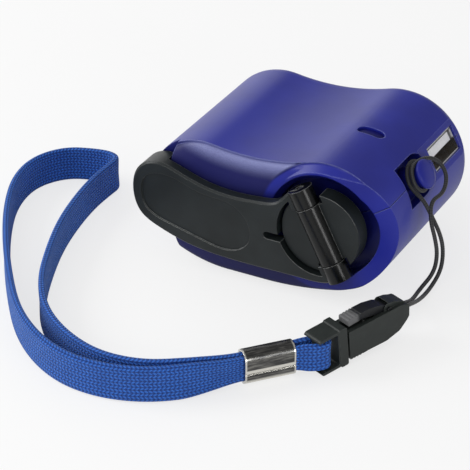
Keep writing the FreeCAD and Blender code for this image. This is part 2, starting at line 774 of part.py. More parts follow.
def gear_axle(label, index):
    finish(cylinder(label, "axle_radius", "back_plate_back - front_plate_front",
                    axis_point(index, size("front_plate_front"))), label)


# The plates' corners and the pillars between them, measured from the hub.
PLATE = [(-33.6, -6.5), (-33.6, 5.6), (-23.0, 7.5), (-7.0, 7.5), (-2.0, 12.0), (4.4, 11.8),
         (7.6, 5.0), (9.9, -3.0), (9.9, -8.2), (3.0, -10.0), (-15.0, -11.0), (-28.5, -10.4)]
PILLARS = [(8.5, -6.8), (2.4, 10.6), (-32.0, 4.2), (-27.4, -8.3)]


def from_hub(points):
    return [(size("hub_x") + x, size("hub_z") + z) for x, z in points]


def gear_plate(label, front, back, holes):
    body = new_body(label + "_blank")
    pad_y(body, label + "_pad", rounded(from_hub(PLATE), 1.6), back, front)
    tools = [cylinder(f"{label}_hole_{i}", radius, "10", Vector(x, size(front) - 4, z))
             for i, (x, z, radius) in enumerate(holes)]
    finish(cut(label, body, *tools), label)


def gear_plates():
    axles = [(x, z, "axle_radius") for x, z in PLACES[1:3]]
    posts = [(x, z, "spigot_radius") for x, z in from_hub(PILLARS)]
    gear_plate("front_gear_plate", "front_plate_front", "front_plate_back",
               axles + posts + [(*PLACES[0], "bush_bore_radius")])
    gear_plate("back_gear_plate", "back_plate_front", "back_plate_back",
               axles + posts + [(*PLACES[0], "bush_bore_radius"), (*PLACES[3], "3")])


def plate_pillars():
    pieces = []
    for i, (x, z) in enumerate(from_hub(PILLARS)):
        post = cylinder(f"pillar_{i}", "pillar_radius", "back_plate_front - front_plate_back",
                        Vector(x, size("front_plate_back"), z))
        spigot = cylinder(f"spigot_{i}", "spigot_radius", "back_plate_back - front_plate_front",
                          Vector(x, size("front_plate_front"), z))
        pieces.append(fuse(f"pillar_set_{i}", post, spigot))
    group = doc.addObject("Part::Compound", "plate_pillars")
    group.Links = pieces
    finish(group, "plate_pillars")


# ---- generator -------------------------------------------------------------------------

def motor_outline(shrink):
    x, z = PLACES[3]
    radius, flat = size("can_radius") - shrink, size("can_flat") - shrink
    run = math.sqrt(radius ** 2 - flat ** 2)
    return [
        line((x - run, z + flat), (x + run, z + flat)),
        arc3((x + run, z + flat), (x + radius, z), (x + run, z - flat)),
        line((x + run, z - flat), (x - run, z - flat)),
        arc3((x - run, z - flat), (x - radius, z), (x - run, z + flat)),
    ]


def pad_back(name, edges, front, length):
    body = new_body(name)
    sketch = sketch_in(body, name + "_profile", "XZ_Plane", -front, edges)
    pad = body.newObject("PartDesign::Pad", name + "_pad")
    pad.Profile = sketch
    pad.Reversed = True
    bind(pad, Length=length)
    return body


def generator_can():
    front = size("back_plate_back")
    outer = pad_back("can_outer", motor_outline(0), front, "can_length")
    inner = pad_back("can_inner", motor_outline(size("can_wall")), front + size("can_wall"), "can_length")
    nose = cylinder("can_nose", "3", "1.3", axis_point(3, front - 1.3))
    bore = cylinder("can_bore", "rotor_shaft_radius + 0.06", "6", axis_point(3, front - 3))
    finish(cut("generator_can", fuse("can_blank", outer, nose), inner, bore), "generator_can")


def generator_end_cap():
    front = size("back_plate_back") + size("can_length")
    cap = pad_back("cap_plate", motor_outline(0), front, "end_cap_thickness")
    bore = cylinder("cap_bore", "rotor_shaft_radius + 0.06", "2", axis_point(3, front - 0.5))
    x, z = PLACES[3]
    tabs = [box(f"tab_slot_{k}", "2.2", "8", "0.6", Placement(Vector(x + off - 1.1, front - 1, z + 4.8), Rotation()))
            for k, off in enumerate((-4.5, 4.5))]
    finish(cut("generator_end_cap", cap, bore, *tabs), "generator_end_cap")


def generator_magnets():
    front = size("back_plate_back") + 3.0
    band = pad_back("magnet_outer", motor_outline(size("can_wall")), front, "13")
    hole = cylinder("magnet_hole", "6.9", "20", axis_point(3, front - 2))
    x, z = PLACES[3]
    gap = box("magnet_gap", "8", "20", "30", Placement(Vector(x - 4, front - 2, z - 15), Rotation()))
    finish(cut("generator_magnets", band, hole, gap), "generator_magnets")


def generator_rotor():
    """Shaft, three-pole core and commutator."""
    front = size("back_plate_back")
    shaft = cylinder("rotor_shaft", "rotor_shaft_radius", "can_length + 5.5", axis_point(3, front - 4.3))
    core = cylinder("rotor_core", "6.4", "11.5", axis_point(3, front + 4.0))
    commutator = cylinder("commutator", "2.4", "3.2", axis_point(3, front + 16.4))
    slots = []
    for k in range(3):
        angle = math.radians(120 * k)
        aim = Vector(math.cos(angle), 0, math.sin(angle))
        slots.append(cylinder(f"winding_slot_{k}", "2.1", "20", axis_point(3, front + 1) + aim * 4.7))
    finish(fuse("generator_rotor", shaft, cut("rotor_poles", core, *slots), commutator), "generator_rotor")


def motor_pinion():
    phase = HEADINGS[2] + 180 + 180 / size("motor_pinion_teeth")
    teeth = wheel("motor_pinion_teeth_body", "motor_pinion_teeth", PLACES[3], phase,
                  "second_wheel_front", "face_width + 0.3")
    bore = cylinder("motor_pinion_bore", "rotor_shaft_radius", "20", axis_point(3, -15))
    finish(cut("generator_pinion", teeth, bore), "generator_pinion")


# ---- board, socket and window ----------------------------------------------------------

def circuit_board():
    low = -size("socket_height") / 2 - size("board_thickness")
    wide = box("board_wide", "19.6", "14.2", "board_thickness", tilted(-8, 7.0, low))
    narrow = box("board_narrow", "17.1", "8.9", "board_thickness", tilted(-8, -1.8, low))
    finish(fuse("circuit_board", wide, narrow), "circuit_board")


def board_top(out, y):
    return at_socket(out, y, -size("socket_height") / 2)


def usb_socket():
    width, height, skin = size("socket_width"), size("socket_height"), size("socket_skin")
    y0 = size("socket_y") - width / 2
    outer = box("socket_outer", "socket_depth", "socket_width", "socket_height", tilted(0, y0, -height / 2))
    inner = box("socket_inner", "socket_depth", "socket_width - 2 * socket_skin",
                "socket_height - 2 * socket_skin", tilted(skin, y0 + skin, -height / 2 + skin))
    springs = []
    for k, shift in enumerate((-3.2, 3.2)):
        springs.append(box(f"spring_gap_{k}", "5", "2.2", "1.2",
                           tilted(6.5, size("socket_y") + shift - 1.1, height / 2 - 0.8)))
    finish(cut("usb_shell", outer, inner, *springs), "usb_shell")
    block = box("tongue_block", "3.4", "socket_width - 2 * socket_skin", "socket_height - 2 * socket_skin",
                tilted(skin, y0 + skin, -height / 2 + skin))
    tongue = box("tongue", "9.6", "11.2", "1.9", tilted(skin + 3.3, size("socket_y") - 5.6, -0.1))
    finish(fuse("usb_tongue", block, tongue), "usb_tongue")
    strips = []
    for k in range(4):
        shift = (k - 1.5) * 2.5
        strips.append(box(f"contact_{k}", "7.6", "1.0", "0.25",
                          tilted(skin + 4.2, size("socket_y") + shift - 0.5, -0.35)))
    group = doc.addObject("Part::Compound", "usb_contacts")
    group.Links = strips
    finish(group, "usb_contacts")


def board_pieces():
    finish(cylinder("capacitor", "3", "8", board_top(-4.4, 11.5), lifted()), "capacitor")
    drum = cylinder("drum", "2.6", "3.6", board_top(-4.4, 3.2), lifted())
    waist = cut("drum_waist", cylinder("waist_ring", "3.5", "1.8", board_top(-4.4, 3.2) + lifted() * 0.9, lifted()),
                cylinder("waist_core", "1.9", "4", board_top(-4.4, 3.2), lifted()))
    finish(cut("inductor", drum, waist), "inductor")
    finish(box("regulator_chip", "4", "3.9", "1.6",
               tilted(-6.6, 16.0, -size("socket_height") / 2)), "regulator_chip")


def status_light():
    """The light stands on the board under a window that is sunk a little in the shell."""
    x, y = size("window_x"), size("window_y")
    dome = size("hub_z") + 10.4
    body = cylinder("led_body", "1.5", "3.2", Vector(x, y, dome - 3.2), Z_AXIS)
    top = doc.addObject("Part::Sphere", "led_dome")
    top.Radius = 1.5
    top.Angle1 = 0
    top.Placement = Placement(Vector(x, y, dome), Rotation())
    legs = [box(f"led_leg_{k}", "0.5", "0.5", "20", Placement(Vector(x + off - 0.25, y - 0.25, 6), Rotation()))
            for k, off in enumerate((-0.9, 0.9))]
    above_board = box("led_clip", "30", "10", "20", tilted(-12, -5, -size("socket_height") / 2))
    below_body = box("led_limit", "6", "6", "24", Placement(Vector(x - 3, y - 3, dome - 24), Rotation()))
    trimmed = common("led_legs", fuse("led_leg_pair", *legs), above_board)
    finish(fuse("status_led", body, top, common("led_legs_cut", trimmed, below_body)), "status_led")
    lens = common("lens_top", window_cutter("lens", -0.05, 12.1, 19.0),
                  cylinder("lens_limit", "right_lobe_radius - 0.55", "20", hub(-10)))
    flange = common("lens_foot", window_cutter("lens_flange", 0.6, 12.1, 12.9),
                    cylinder("flange_limit", "right_lobe_radius - wall - 0.05", "20", hub(-10)))
    finish(fuse("led_window", lens, flange), "led_window")


def lanyard_post():
    stem = cylinder("post_stem", "1.6", "1.4", at_socket(size("post_floor") - 1.4, size("post_y"), 0), outward())
    neck = cylinder("post_neck", "post_neck_radius", "post_top - post_floor",
                    at_socket(size("post_floor"), size("post_y"), 0), outward())
    head = cone("post_head", "post_head_radius", "post_neck_radius", "0.7",
                at_socket(size("post_top"), size("post_y"), 0), outward())
    finish(fuse("lanyard_post", stem, neck, head), "lanyard_post")


# ---- cords and straps ------------------------------------------------------------------

def arc_path(points, name):
    """Straight runs joined by arcs that touch both, each as large as its runs allow."""
    edges = []
    radii = []
    last = points[0]
    for i in range(1, len(points) - 1):
        here = points[i]
        back, ahead = points[i - 1] - here, points[i + 1] - here
        turn = math.pi - back.getAngle(ahead)
        reach = 0.45 * min(back.Length, ahead.Length)
        radius = reach / math.tan(turn / 2)
        radii.append(radius)
        unit_back, unit_ahead = Vector(back).normalize(), Vector(ahead).normalize()
        start, end = here + unit_back * reach, here + unit_ahead * reach
        inward = (unit_back + unit_ahead).normalize()
        middle = here + inward * (radius / math.cos(turn / 2) - radius)
        edges.append(Part.LineSegment(last, start).toShape())
        edges.append(Part.Arc(start, middle, end).toShape())
        last = end
    edges.append(Part.LineSegment(last, points[-1]).toShape())
    wire = Part.Wire(edges)
    print(f"{name}: length {wire.Length:.1f} mm, radii",
          " ".join(f"{r:.1f}" for r in radii))
    return wire


def tube_along(points, diameter, name):
    wire = arc_path(points, name)
    heading = (points[1] - points[0]).normalize()
    circle = Part.Wire([Part.Circle(points[0], heading, diameter / 2).toShape()])
    tube = wire.makePipeShell([circle], True, False)
    expected = math.pi * diameter ** 2 / 4 * wire.Length
    print(f"{name}: volume {tube.Volume:.2f} against {expected:.2f}")
    return tube


def ribbon_along(points, width, thickness, name):
    """A flat strap standing on its edge along a level route."""
    wire = arc_path(points, name)
    heading = (points[1] - points[0]).normalize()
    side = heading.cross(Z_AXIS).normalize() * (thickness / 2)
    low, high = Vector(0, 0, 0), Vector(0, 0, width)
    corners = [points[0] + side + low, points[0] - side + low, points[0] - side + high,
               points[0] + side + high]
    section = Part.makePolygon(corners + [corners[0]])
    maker = Part.BRepOffsetAPI.MakePipeShell(wire)
    maker.setBiNormalMode(Z_AXIS)
    maker.add(section)
    maker.build()
    maker.makeSolid()
    strap = maker.shape()
    expected = width * thickness * wire.Length
    print(f"{name}: volume {strap.Volume:.2f} against {expected:.2f}")
    return strap


# The string's route: from the buckle's nose up to the post, twice round it and back.
STRING_UP = [(33.9, -15.4, 2.3), (32.7, -8.6, 0.9), (34.0, -3.9, 3.1), (34.7, -3.2, 7.4),
             (34.1, -4.9, 12.4), (32.4, -6.2, 17.0), (31.0, -6.9, 20.3)]
STRING_DOWN = [(31.3, -5.0, 21.5), (33.3, -4.6, 17.8), (35.4, -3.4, 12.8), (36.0, -1.4, 7.8),
               (35.3, -2.5, 3.1), (34.3, -7.6, 0.9), (35.1, -14.2, 2.0)]
POST_LOOP = {"radius": 3.35, "first": 247.5, "step": 45.0, "count": 13, "low": 12.0, "high": 13.7}


def string_route():
    around = []
    radius = POST_LOOP["radius"] / math.cos(math.radians(POST_LOOP["step"] / 2))
    for k in range(POST_LOOP["count"]):
        angle = math.radians(POST_LOOP["first"] + POST_LOOP["step"] * k)
        out = POST_LOOP["low"] + (POST_LOOP["high"] - POST_LOOP["low"]) * k / (POST_LOOP["count"] - 1)
        around.append(at_socket(out, size("post_y") + radius * math.cos(angle), -radius * math.sin(angle)))
    ends = [[buckle_point(15.2, side * 0.58, 0.1), buckle_point(18.9, side * 0.62, 0.0)] for side in (1, -1)]
    up = [Vector(*p) for p in STRING_UP]
    down = [Vector(*p) for p in STRING_DOWN]
    return ends[0] + up + around + down + ends[1][::-1]


def string_loop():
    shape = tube_along(string_route(), size("string_diameter"), "string_loop")
    finish(fixed_shape("string_loop", shape), "string_loop")


# The strap's loop on the table, from one side of the crimp round to the other, with the
# sharp fold at the far end.
STRAP_LOOP = [(10.5, -63.6), (5.7, -68.6), (-0.7, -72.4), (-8.5, -74.4), (-16.9, -73.8),
              (-25.5, -70.0), (-34.1, -63.2), (-42.7, -52.8), (-51.3, -41.0), (-58.9, -28.8),
              (-64.1, -17.6), (-65.3, -7.8), (-61.3, -0.3), (-54.5, 2.3), (-50.1, 2.8),
              (-47.9, 1.0), (-48.1, -2.8), (-48.1, -9.8), (-46.9, -18.8), (-44.5, -29.4),
              (-40.7, -40.0), (-35.7, -51.4), (-29.1, -60.6), (-20.5, -67.0), (-10.7, -70.6),
              (-1.5, -69.8), (5.7, -65.8), (10.3, -60.9)]


def crimp_place():
    return Placement(Vector(size("crimp_x"), size("crimp_y"), size("crimp_middle")),
                     Rotation(Z_AXIS, size("crimp_turn")))


def crimp_point(along, left, z):
    spot = crimp_place().multVec(Vector(along, left, 0))
    return Vector(spot.x, spot.y, z)


def buckle_place():
    """The buckle lies on its wide end, with its nose held up a little by the string."""
    middle = Vector(size("buckle_x"), size("buckle_y"), size("buckle_middle"))
    turn = Rotation(Z_AXIS, size("buckle_turn")) * Rotation(Y_AXIS, -size("buckle_pitch"))
    return Placement(middle, turn)


def buckle_point(along, left, up):
    return buckle_place().multVec(Vector(along, left, up))


def buckle_plate(name, edges, half):
    """A profile along and above the buckle's middle line, this far to both sides of it."""
    body = new_body(name)
    sketch = sketch_in(body, name + "_profile", "XZ_Plane", 0, edges)
    pad = body.newObject("PartDesign::Pad", name + "_pad")
    pad.Profile = sketch
    pad.SideType = "Symmetric"
    bind(pad, Length=f"2 * {half}")
    body.Placement = buckle_place()
    return body


def sides(low_x, high_x, half):
    return [(low_x, -half), (high_x, -half), (high_x, half), (low_x, half)]


def lever_pin(name, side, radius, half):
    start = buckle_point(size("lever_pivot_along"), -half, side * size("lever_pivot_up"))
    return cylinder(name, radius, f"2 * {half}", start, buckle_place().Rotation.multVec(Y_AXIS))


def buckle_body():
    """The string's half: two cheeks and a solid nose round an open channel."""
    outline = [(1.6, -3.7), (11.4, -4.1), (15.0, -3.3), (17.0, -1.7), (17.7, -0.9), (17.9, 2.0),
               (15.6, 2.6), (11.0, 2.7), (1.6, 2.9)]
    shell = buckle_plate("buckle_shell", rounded(outline, [0.4, 3, 2, 0.8, 0.4, 0.7, 2, 6, 0.4]),
                         "buckle_half")
    crown = buckle_plate("buckle_crown", rounded([(11.8, 1.0), (17.4, 1.0), (17.4, 2.5), (14.6, 3.7),
                                                  (12.6, 4.1), (11.8, 3.4)], [0.3, 0.3, 0.6, 2, 0.6, 0.3]),
                         "lever_half + 0.5")
    channel = buckle_plate("buckle_channel", polygon([(0, -6), (11.2, -6), (13.8, -3.3), (13.8, 3.3),
                                                      (11.2, 6), (0, 6)]), "channel_half")
    heading = buckle_place().Rotation.multVec(X_AXIS)
    bore = cylinder("string_bore", "1.5", "8", buckle_point(13.0, 0, 0), heading)
    pivots = [lever_pin(f"pivot_bore_{side + 1}", side, "lever_pin_radius + 0.06", 2.25) for side in (1, -1)]
    finish(cut("buckle_body", fuse("buckle_blank", shell, crown), channel, bore, *pivots), "buckle_body")


def squeeze_lever(label, side):
    """A bowed spring lever: root at the nose, ribbed grip at the wide end."""
    x, z = size("lever_pivot_along"), size("lever_pivot_up")
    outline = [(2.4, 3.4), (6.6, 3.5), (x - 2.4, 2.5), (x - 0.2, z - 0.75), (x + 0.5, z - 0.6),
               (x + 0.6, z + 0.5), (x - 1.9, 4.35), (8.4, 4.95), (5.0, 5.05), (2.4, 4.9)]
    points = [(px, side * pz) for px, pz in outline]
    blade = buckle_plate(label + "_blade", rounded(points[::side], 0.25), "lever_half")
    grips = []
    for k in range(4):
        middle = 3.2 + k * 0.8
        grips.append(buckle_plate(f"{label}_grip_{k}", rounded(sides(middle - 0.17, middle + 0.17, 0.3), 0.1),
                                  "2 * lever_half"))
        grips[-1].Placement = buckle_place() * Placement(Vector(0, 0, side * 5.14), Rotation())
    pin = lever_pin(label + "_pin", side, "lever_pin_radius", 2.15)
    finish(fuse(label + "_whole", cut(label + "_cut", blade, *grips), pin), label)


def both_levers():
    squeeze_lever("upper_lever", 1)
    squeeze_lever("lower_lever", -1)


def buckle_clip():
    """The strap's half: slotted frame, flange and the tongue that locks in the other half."""
    flange = buckle_plate("clip_flange", rounded(sides(-0.9, 1.1, 4.6), 0.4), "flange_half")
    frame = buckle_plate("clip_frame", rounded(sides(-6.0, -0.4, 4.35), [0.8, 0.2, 0.2, 0.8]), "frame_half")
    slot = buckle_plate("clip_slot", rounded(sides(-4.9, -1.2, 3.75), 0.3), "2 * frame_half")
    end = buckle_plate("clip_end", polygon(sides(-9, -4.9, 3.75)), "2 * frame_half")
    bar = buckle_plate("clip_bar", polygon(sides(-5.6, -4.8, 4.0)), "bar_half")
    tongue = buckle_plate("clip_tongue", rounded([(1.0, -1.2), (7.6, -1.2), (7.6, -1.55), (8.4, -1.55),
                                                  (10.4, -0.8), (10.4, 0.8), (8.4, 1.55), (7.6, 1.55),
                                                  (7.6, 1.2), (1.0, 1.2)], 0.1), "tongue_half")
    slit = buckle_plate("clip_slit", rounded(sides(3.2, 11.5, 0.35), 0.3), "2 * tongue_half")
    hollow = cut("clip_hollow", frame, slot, end)
    finish(fuse("buckle_clip", flange, hollow, bar, cut("clip_prongs", tongue, slit)), "buckle_clip")


def crimp_tube(name, grow, bore_shrink, stretch):
    """The ferrule's rounded tube; grown, tightened or stretched, it trims the straps in it."""
    high, thick = size("crimp_height") + 2 * grow, size("crimp_thickness") + 2 * grow
    bore_high = size("crimp_height") - 2 * (size("crimp_wall") + bore_shrink)
    bore_thick = size("crimp_thickness") - 2 * (size("crimp_wall") + bore_shrink)
    body = new_body(name)
    length = f"crimp_length + 2 * {stretch}"
    outer = sketch_in(body, name + "_profile", "YZ_Plane", 0, rounded(sides(-thick / 2, thick / 2, high / 2), 1.9))
    pad = body.newObject("PartDesign::Pad", name + "_pad")
    pad.Profile = outer
    pad.SideType = "Symmetric"
    bind(pad, Length=length)
    inner = sketch_in(body, name + "_bore", "YZ_Plane", 0,
                      rounded(sides(-bore_thick / 2, bore_thick / 2, bore_high / 2), 1.35))
    hole = body.newObject("PartDesign::Pocket", name + "_pocket")
    hole.Profile = inner
    hole.SideType = "Symmetric"
    bind(hole, Length=length)
    body.Placement = crimp_place()
    return body


def strap_crimp():
    """A flattened metal ferrule closed round the straps, with its seam along the near side."""
    tube = crimp_tube("crimp_blank", 0, 0, 0)
    groove = box("crimp_seam", "crimp_length + 2", "0.5", "0.3",
                 crimp_place() * Placement(Vector(-size("crimp_length") / 2 - 1, -size("crimp_thickness") / 2 - 0.3, -1.0),
                                           Rotation()))
    finish(cut("strap_crimp", tube, groove), "strap_crimp")


def trimmed_to_crimp(label, shape):
    """Keeps a strap's ends clear of the ferrule's wall, as if gathered in it."""
    strap = fixed_shape(label + "_ribbon", shape)
    sleeve = crimp_tube(label + "_sleeve", 0.6, 0.05, 0.05)
    finish(cut(label, strap, sleeve), label)


def strap_tab():
    """A short band from the ferrule round the bar of the strap's half."""
    lift = (size("crimp_middle") + size("buckle_middle") - size("tab_width")) / 2 - 0.15
    route = [crimp_point(1.6, -0.75, lift), crimp_point(5.6, -1.0, lift)]
    back = [crimp_point(5.6, 1.0, lift), crimp_point(1.6, 0.75, lift)]
    corners = [(-5.6, -1.75), (-2.65, -1.75), (-2.65, 1.75), (-5.6, 1.75)]
    loop = []
    for along, left in corners:
        spot = buckle_point(along, left, 0)
        loop.append(Vector(spot.x, spot.y, lift))
    shape = ribbon_along(route + loop + back, size("tab_width"), size("tab_thickness"), "strap_tab")
    trimmed_to_crimp("strap_tab", shape)


def wrist_strap():
    """The loop's two ends lie side by side in the ferrule."""
    width = size("strap_width")
    lift = size("crimp_middle") - width / 2
    start = [crimp_point(-1.5, -0.75, lift), crimp_point(-5.6, -0.75, lift)]
    end = [crimp_point(-5.6, 0.75, lift), crimp_point(-1.5, 0.75, lift)]
    route = start + [Vector(x, y, lift) for x, y in STRAP_LOOP] + end
    trimmed_to_crimp("wrist_strap", ribbon_along(route, width, size("strap_thickness"), "wrist_strap"))


make_done = [
    casing, case_screws, crank_hub, crank_arm, hinge_pin, finger_knob, knob_screw, crank_shaft,
    shaft_bush, drive_gear, gear_plates, plate_pillars, generator_can, generator_end_cap,
    generator_magnets, generator_rotor, motor_pinion, circuit_board, usb_socket, board_pieces,
    status_light, lanyard_post, string_loop, buckle_body, both_levers, buckle_clip, strap_tab,
    strap_crimp, wrist_strap,
]


def export():
    doc.recompute()
    for thing in doc.Objects:
        if "Invalid" in thing.State or "Error" in thing.State:
            raise RuntimeError(f"{thing.Name} failed: {thing.State}")
    for node in nodes:
        if node.Shape.isNull() or not node.Shape.isValid():
            raise RuntimeError(f"{node.Label} has no valid shape")
    os.makedirs("parts", exist_ok=True)
    for node in nodes:
        node.Shape.exportStep(f"parts/{node.Label}.step")
        bounds = node.Shape.BoundBox
        print(f"{node.Label}: {node.Shape.Volume:.1f} mm3, {len(node.Shape.Solids)} solids, "
              f"x {bounds.XMin:.1f}..{bounds.XMax:.1f} y {bounds.YMin:.1f}..{bounds.YMax:.1f} "
              f"z {bounds.ZMin:.1f}..{bounds.ZMax:.1f}")


for make in make_done:
    make()
compound_gear("first_gear", 1, "first_wheel_teeth", "first_wheel_front", "drive_gear_front",
              "first_wheel_front - drive_gear_front")
compound_gear("second_gear", 2, "second_wheel_teeth", "second_wheel_front", "first_wheel_front",
              "second_wheel_front - first_wheel_front")
gear_axle("first_axle", 1)
gear_axle("second_axle", 2)
export()
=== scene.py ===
import json
import math

import bpy
from mathutils import Matrix, Vector

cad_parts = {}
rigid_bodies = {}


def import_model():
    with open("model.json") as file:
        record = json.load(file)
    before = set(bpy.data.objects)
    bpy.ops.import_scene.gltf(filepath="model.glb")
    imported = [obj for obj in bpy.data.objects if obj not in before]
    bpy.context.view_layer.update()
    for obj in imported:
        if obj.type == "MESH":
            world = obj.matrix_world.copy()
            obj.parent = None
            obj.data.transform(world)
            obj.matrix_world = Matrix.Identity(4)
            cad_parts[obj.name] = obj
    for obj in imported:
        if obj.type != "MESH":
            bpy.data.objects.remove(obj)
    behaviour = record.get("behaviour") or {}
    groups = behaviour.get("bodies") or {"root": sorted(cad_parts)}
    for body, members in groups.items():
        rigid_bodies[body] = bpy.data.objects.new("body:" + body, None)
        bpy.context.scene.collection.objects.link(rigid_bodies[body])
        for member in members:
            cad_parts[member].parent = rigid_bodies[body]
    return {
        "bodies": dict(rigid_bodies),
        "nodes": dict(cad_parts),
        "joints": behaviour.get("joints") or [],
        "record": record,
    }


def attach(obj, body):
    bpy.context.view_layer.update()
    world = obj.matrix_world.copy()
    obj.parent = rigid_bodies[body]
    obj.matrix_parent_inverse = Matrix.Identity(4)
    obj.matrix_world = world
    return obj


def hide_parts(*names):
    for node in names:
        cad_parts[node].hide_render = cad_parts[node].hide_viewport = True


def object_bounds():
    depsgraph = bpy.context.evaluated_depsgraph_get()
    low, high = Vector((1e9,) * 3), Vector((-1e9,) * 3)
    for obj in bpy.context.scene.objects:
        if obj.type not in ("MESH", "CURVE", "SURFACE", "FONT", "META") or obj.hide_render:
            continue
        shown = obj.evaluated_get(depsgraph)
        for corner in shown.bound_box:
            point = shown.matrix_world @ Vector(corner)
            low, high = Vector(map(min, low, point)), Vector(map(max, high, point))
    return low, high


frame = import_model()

# Pocket crank charger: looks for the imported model. Metres throughout, "mm" turns sizes in millimetres.
mm = 0.001
nodes = frame["nodes"]
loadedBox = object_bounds()


def point(x, y, z):
    return Vector((x, y, z)) * mm


def newObject(name, data, body=None):
    thing = bpy.data.objects.new(name, data)
    bpy.context.scene.collection.objects.link(thing)
    if body:
        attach(thing, body)
    return thing


# camera
cameraSet = {"azimuth": 27.958, "elevation": 30.349, "distance": 500, "look": (-16.563, 0, -3.401),
             "sensor": 36, "focal": 2198.475 / 470}    # focal: lens over sensor width


def makeCamera(s=cameraSet):
    az, el = math.radians(s["azimuth"]), math.radians(s["elevation"])
    back = Vector((math.sin(az) * math.cos(el), -math.cos(az) * math.cos(el), math.sin(el)))
    data = bpy.data.cameras.new("camera")
    data.sensor_width = s["sensor"]
    data.lens = s["sensor"] * s["focal"]
    data.clip_start = 0.01
    camera = newObject("camera", data)
    camera.location = point(*s["look"]) + back * s["distance"] * mm
    camera.rotation_euler = (-back).to_track_quat("-Z", "Y").to_euler()
    bpy.context.scene.camera = camera


makeCamera()
print("camera placed")


# cords: control points in millimetres, as in the part's own source
tilt = math.radians(28.5)         # how far the socket's side leans back
hub = (15.0, 16.6)                # the crank's axis, across and up
hubLobe = 15.0                    # radius of the casing's lobe round that axis
outward = Vector((math.cos(tilt), 0, math.sin(tilt)))
lifted = Vector((-math.sin(tilt), 0, math.cos(tilt)))


def atSocket(out, y, up):
    return Vector((hub[0], y, hub[1])) + outward * out + lifted * up


def atPlace(spot, turn, pitch=0.0):
    # a frame whose X runs along a piece of the lanyard, and whose Y is its left
    return Matrix.Translation(spot) @ Matrix.Rotation(math.radians(turn), 4, "Z") @ \
        Matrix.Rotation(math.radians(-pitch), 4, "Y")


buckleFrame = atPlace((28.4, -41.2, 5.0), 66, 5.7)
crimpFrame = atPlace((18.7, -52.7, 4.15), 48.5)

# string: up from the buckle, a slack turn and a tight one round the peg, and down again
stringSet = {
    "diameter": 0.9, "steps": 10, "round": 5,
    "inside": 15.2, "nose": 18.9, "apart": (0.58, 0.62), "lift": 0.1,    # where its ends enter the buckle
    "up": [(33.9, -15.4, 2.3), (32.7, -8.6, 0.9), (34.0, -3.9, 3.1), (34.3, -3.2, 7.4),
           (34.2, -4.9, 12.4), (33.5, -6.2, 17.0)],
    "slack": [(16.5, -2.8, -5.3), (17.4, 1.4, -5.8), (18.0, 4.6, -3.5), (17.8, 5.0, -0.2),
              (16.6, 3.2, 2.6)],
    "loop": {"radius": 3.3, "first": -112.5, "step": -45.0, "count": 11, "low": 15.3, "high": 13.8,
             "y": -0.4},
    "down": [(30.9, -4.4, 20.6), (33.0, -4.6, 17.4), (34.7, -3.4, 12.8), (34.9, -1.4, 7.8),
             (35.0, -2.3, 3.1), (34.6, -7.6, 0.9), (35.0, -14.2, 2.0)],
}


def stringRoute(s=stringSet):
    loop = s["loop"]
    reach = loop["radius"] / math.cos(math.radians(loop["step"] / 2))
    around = []
    for k in range(loop["count"]):
        angle = math.radians(loop["first"] + loop["step"] * k)
        out = loop["low"] + (loop["high"] - loop["low"]) * k / (loop["count"] - 1)
        around.append(atSocket(out, loop["y"] + reach * math.cos(angle), -reach * math.sin(angle)))
    inner, outer = s["apart"]
    start = [buckleFrame @ Vector((s["inside"], inner, s["lift"])),
             buckleFrame @ Vector((s["nose"], outer, 0))]
    end = [buckleFrame @ Vector((s["nose"], -outer, 0)),
           buckleFrame @ Vector((s["inside"], -inner, s["lift"]))]
    slack = [atSocket(*p) for p in s["slack"]]    # a loose turn that stands off the post's head
    return start + [Vector(p) for p in s["up"]] + slack + around + [Vector(p) for p in s["down"]] + end


def nurbs(name, route, radius=1, steps=12):
    curve = bpy.data.curves.new(name, "CURVE")
    curve.dimensions = "3D"
    spline = curve.splines.new("NURBS")
    spline.points.add(len(route) - 1)
    for spot, place in zip(spline.points, route):
        spot.co = (*(place * mm), 1)
        spot.radius = radius
    spline.order_u = 3
    spline.use_endpoint_u = True
    spline.resolution_u = steps
    return curve


def pathLength(path):
    return sum((b - a).length for a, b in zip(path, path[1:]))


def readPath(name, route, closest=0.01):
    # the line that the points make, without the points that lie on top of each other
    helper = newObject(name + "Line", nurbs(name + "Line", route))
    bpy.context.view_layer.update()
    lineMesh = bpy.data.meshes.new_from_object(helper)
    path = [lineMesh.vertices[0].co.copy()]
    for vertex in lineMesh.vertices[1:]:
        if (vertex.co - path[-1]).length > closest * mm:
            path.append(vertex.co.copy())
    bpy.data.objects.remove(helper)
    bpy.data.meshes.remove(lineMesh)
    return path


def evenPath(path, step):
    count = max(2, round(pathLength(path) / step))
    gap = pathLength(path) / count
    spots, walked, target = [path[0].copy()], 0.0, gap
    for a, b in zip(path, path[1:]):
        run = (b - a).length
        while run > 1e-12 and walked + run >= target - 1e-12 and len(spots) < count:
            spots.append(a.lerp(b, (target - walked) / run))
            target += gap
        walked += run
    spots.append(path[-1].copy())
    return spots


def makeString(s=stringSet):
    route = stringRoute()
    # the points carry the cord's radius, so that its bounds are its own
    curve = nurbs("lanyardString", route, s["diameter"] / 2 * mm, s["steps"])
    curve.bevel_depth = 1
    curve.bevel_resolution = s["round"]
    curve.use_fill_caps = True
    thing = newObject("lanyardString", curve, "casing")
    length = pathLength(readPath("lanyardString", route))
    tuple(route[0] * mm)
    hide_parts("string_loop")
    print("string", round(length / mm, 1), "mm")
    return thing


lanyardString = makeString()

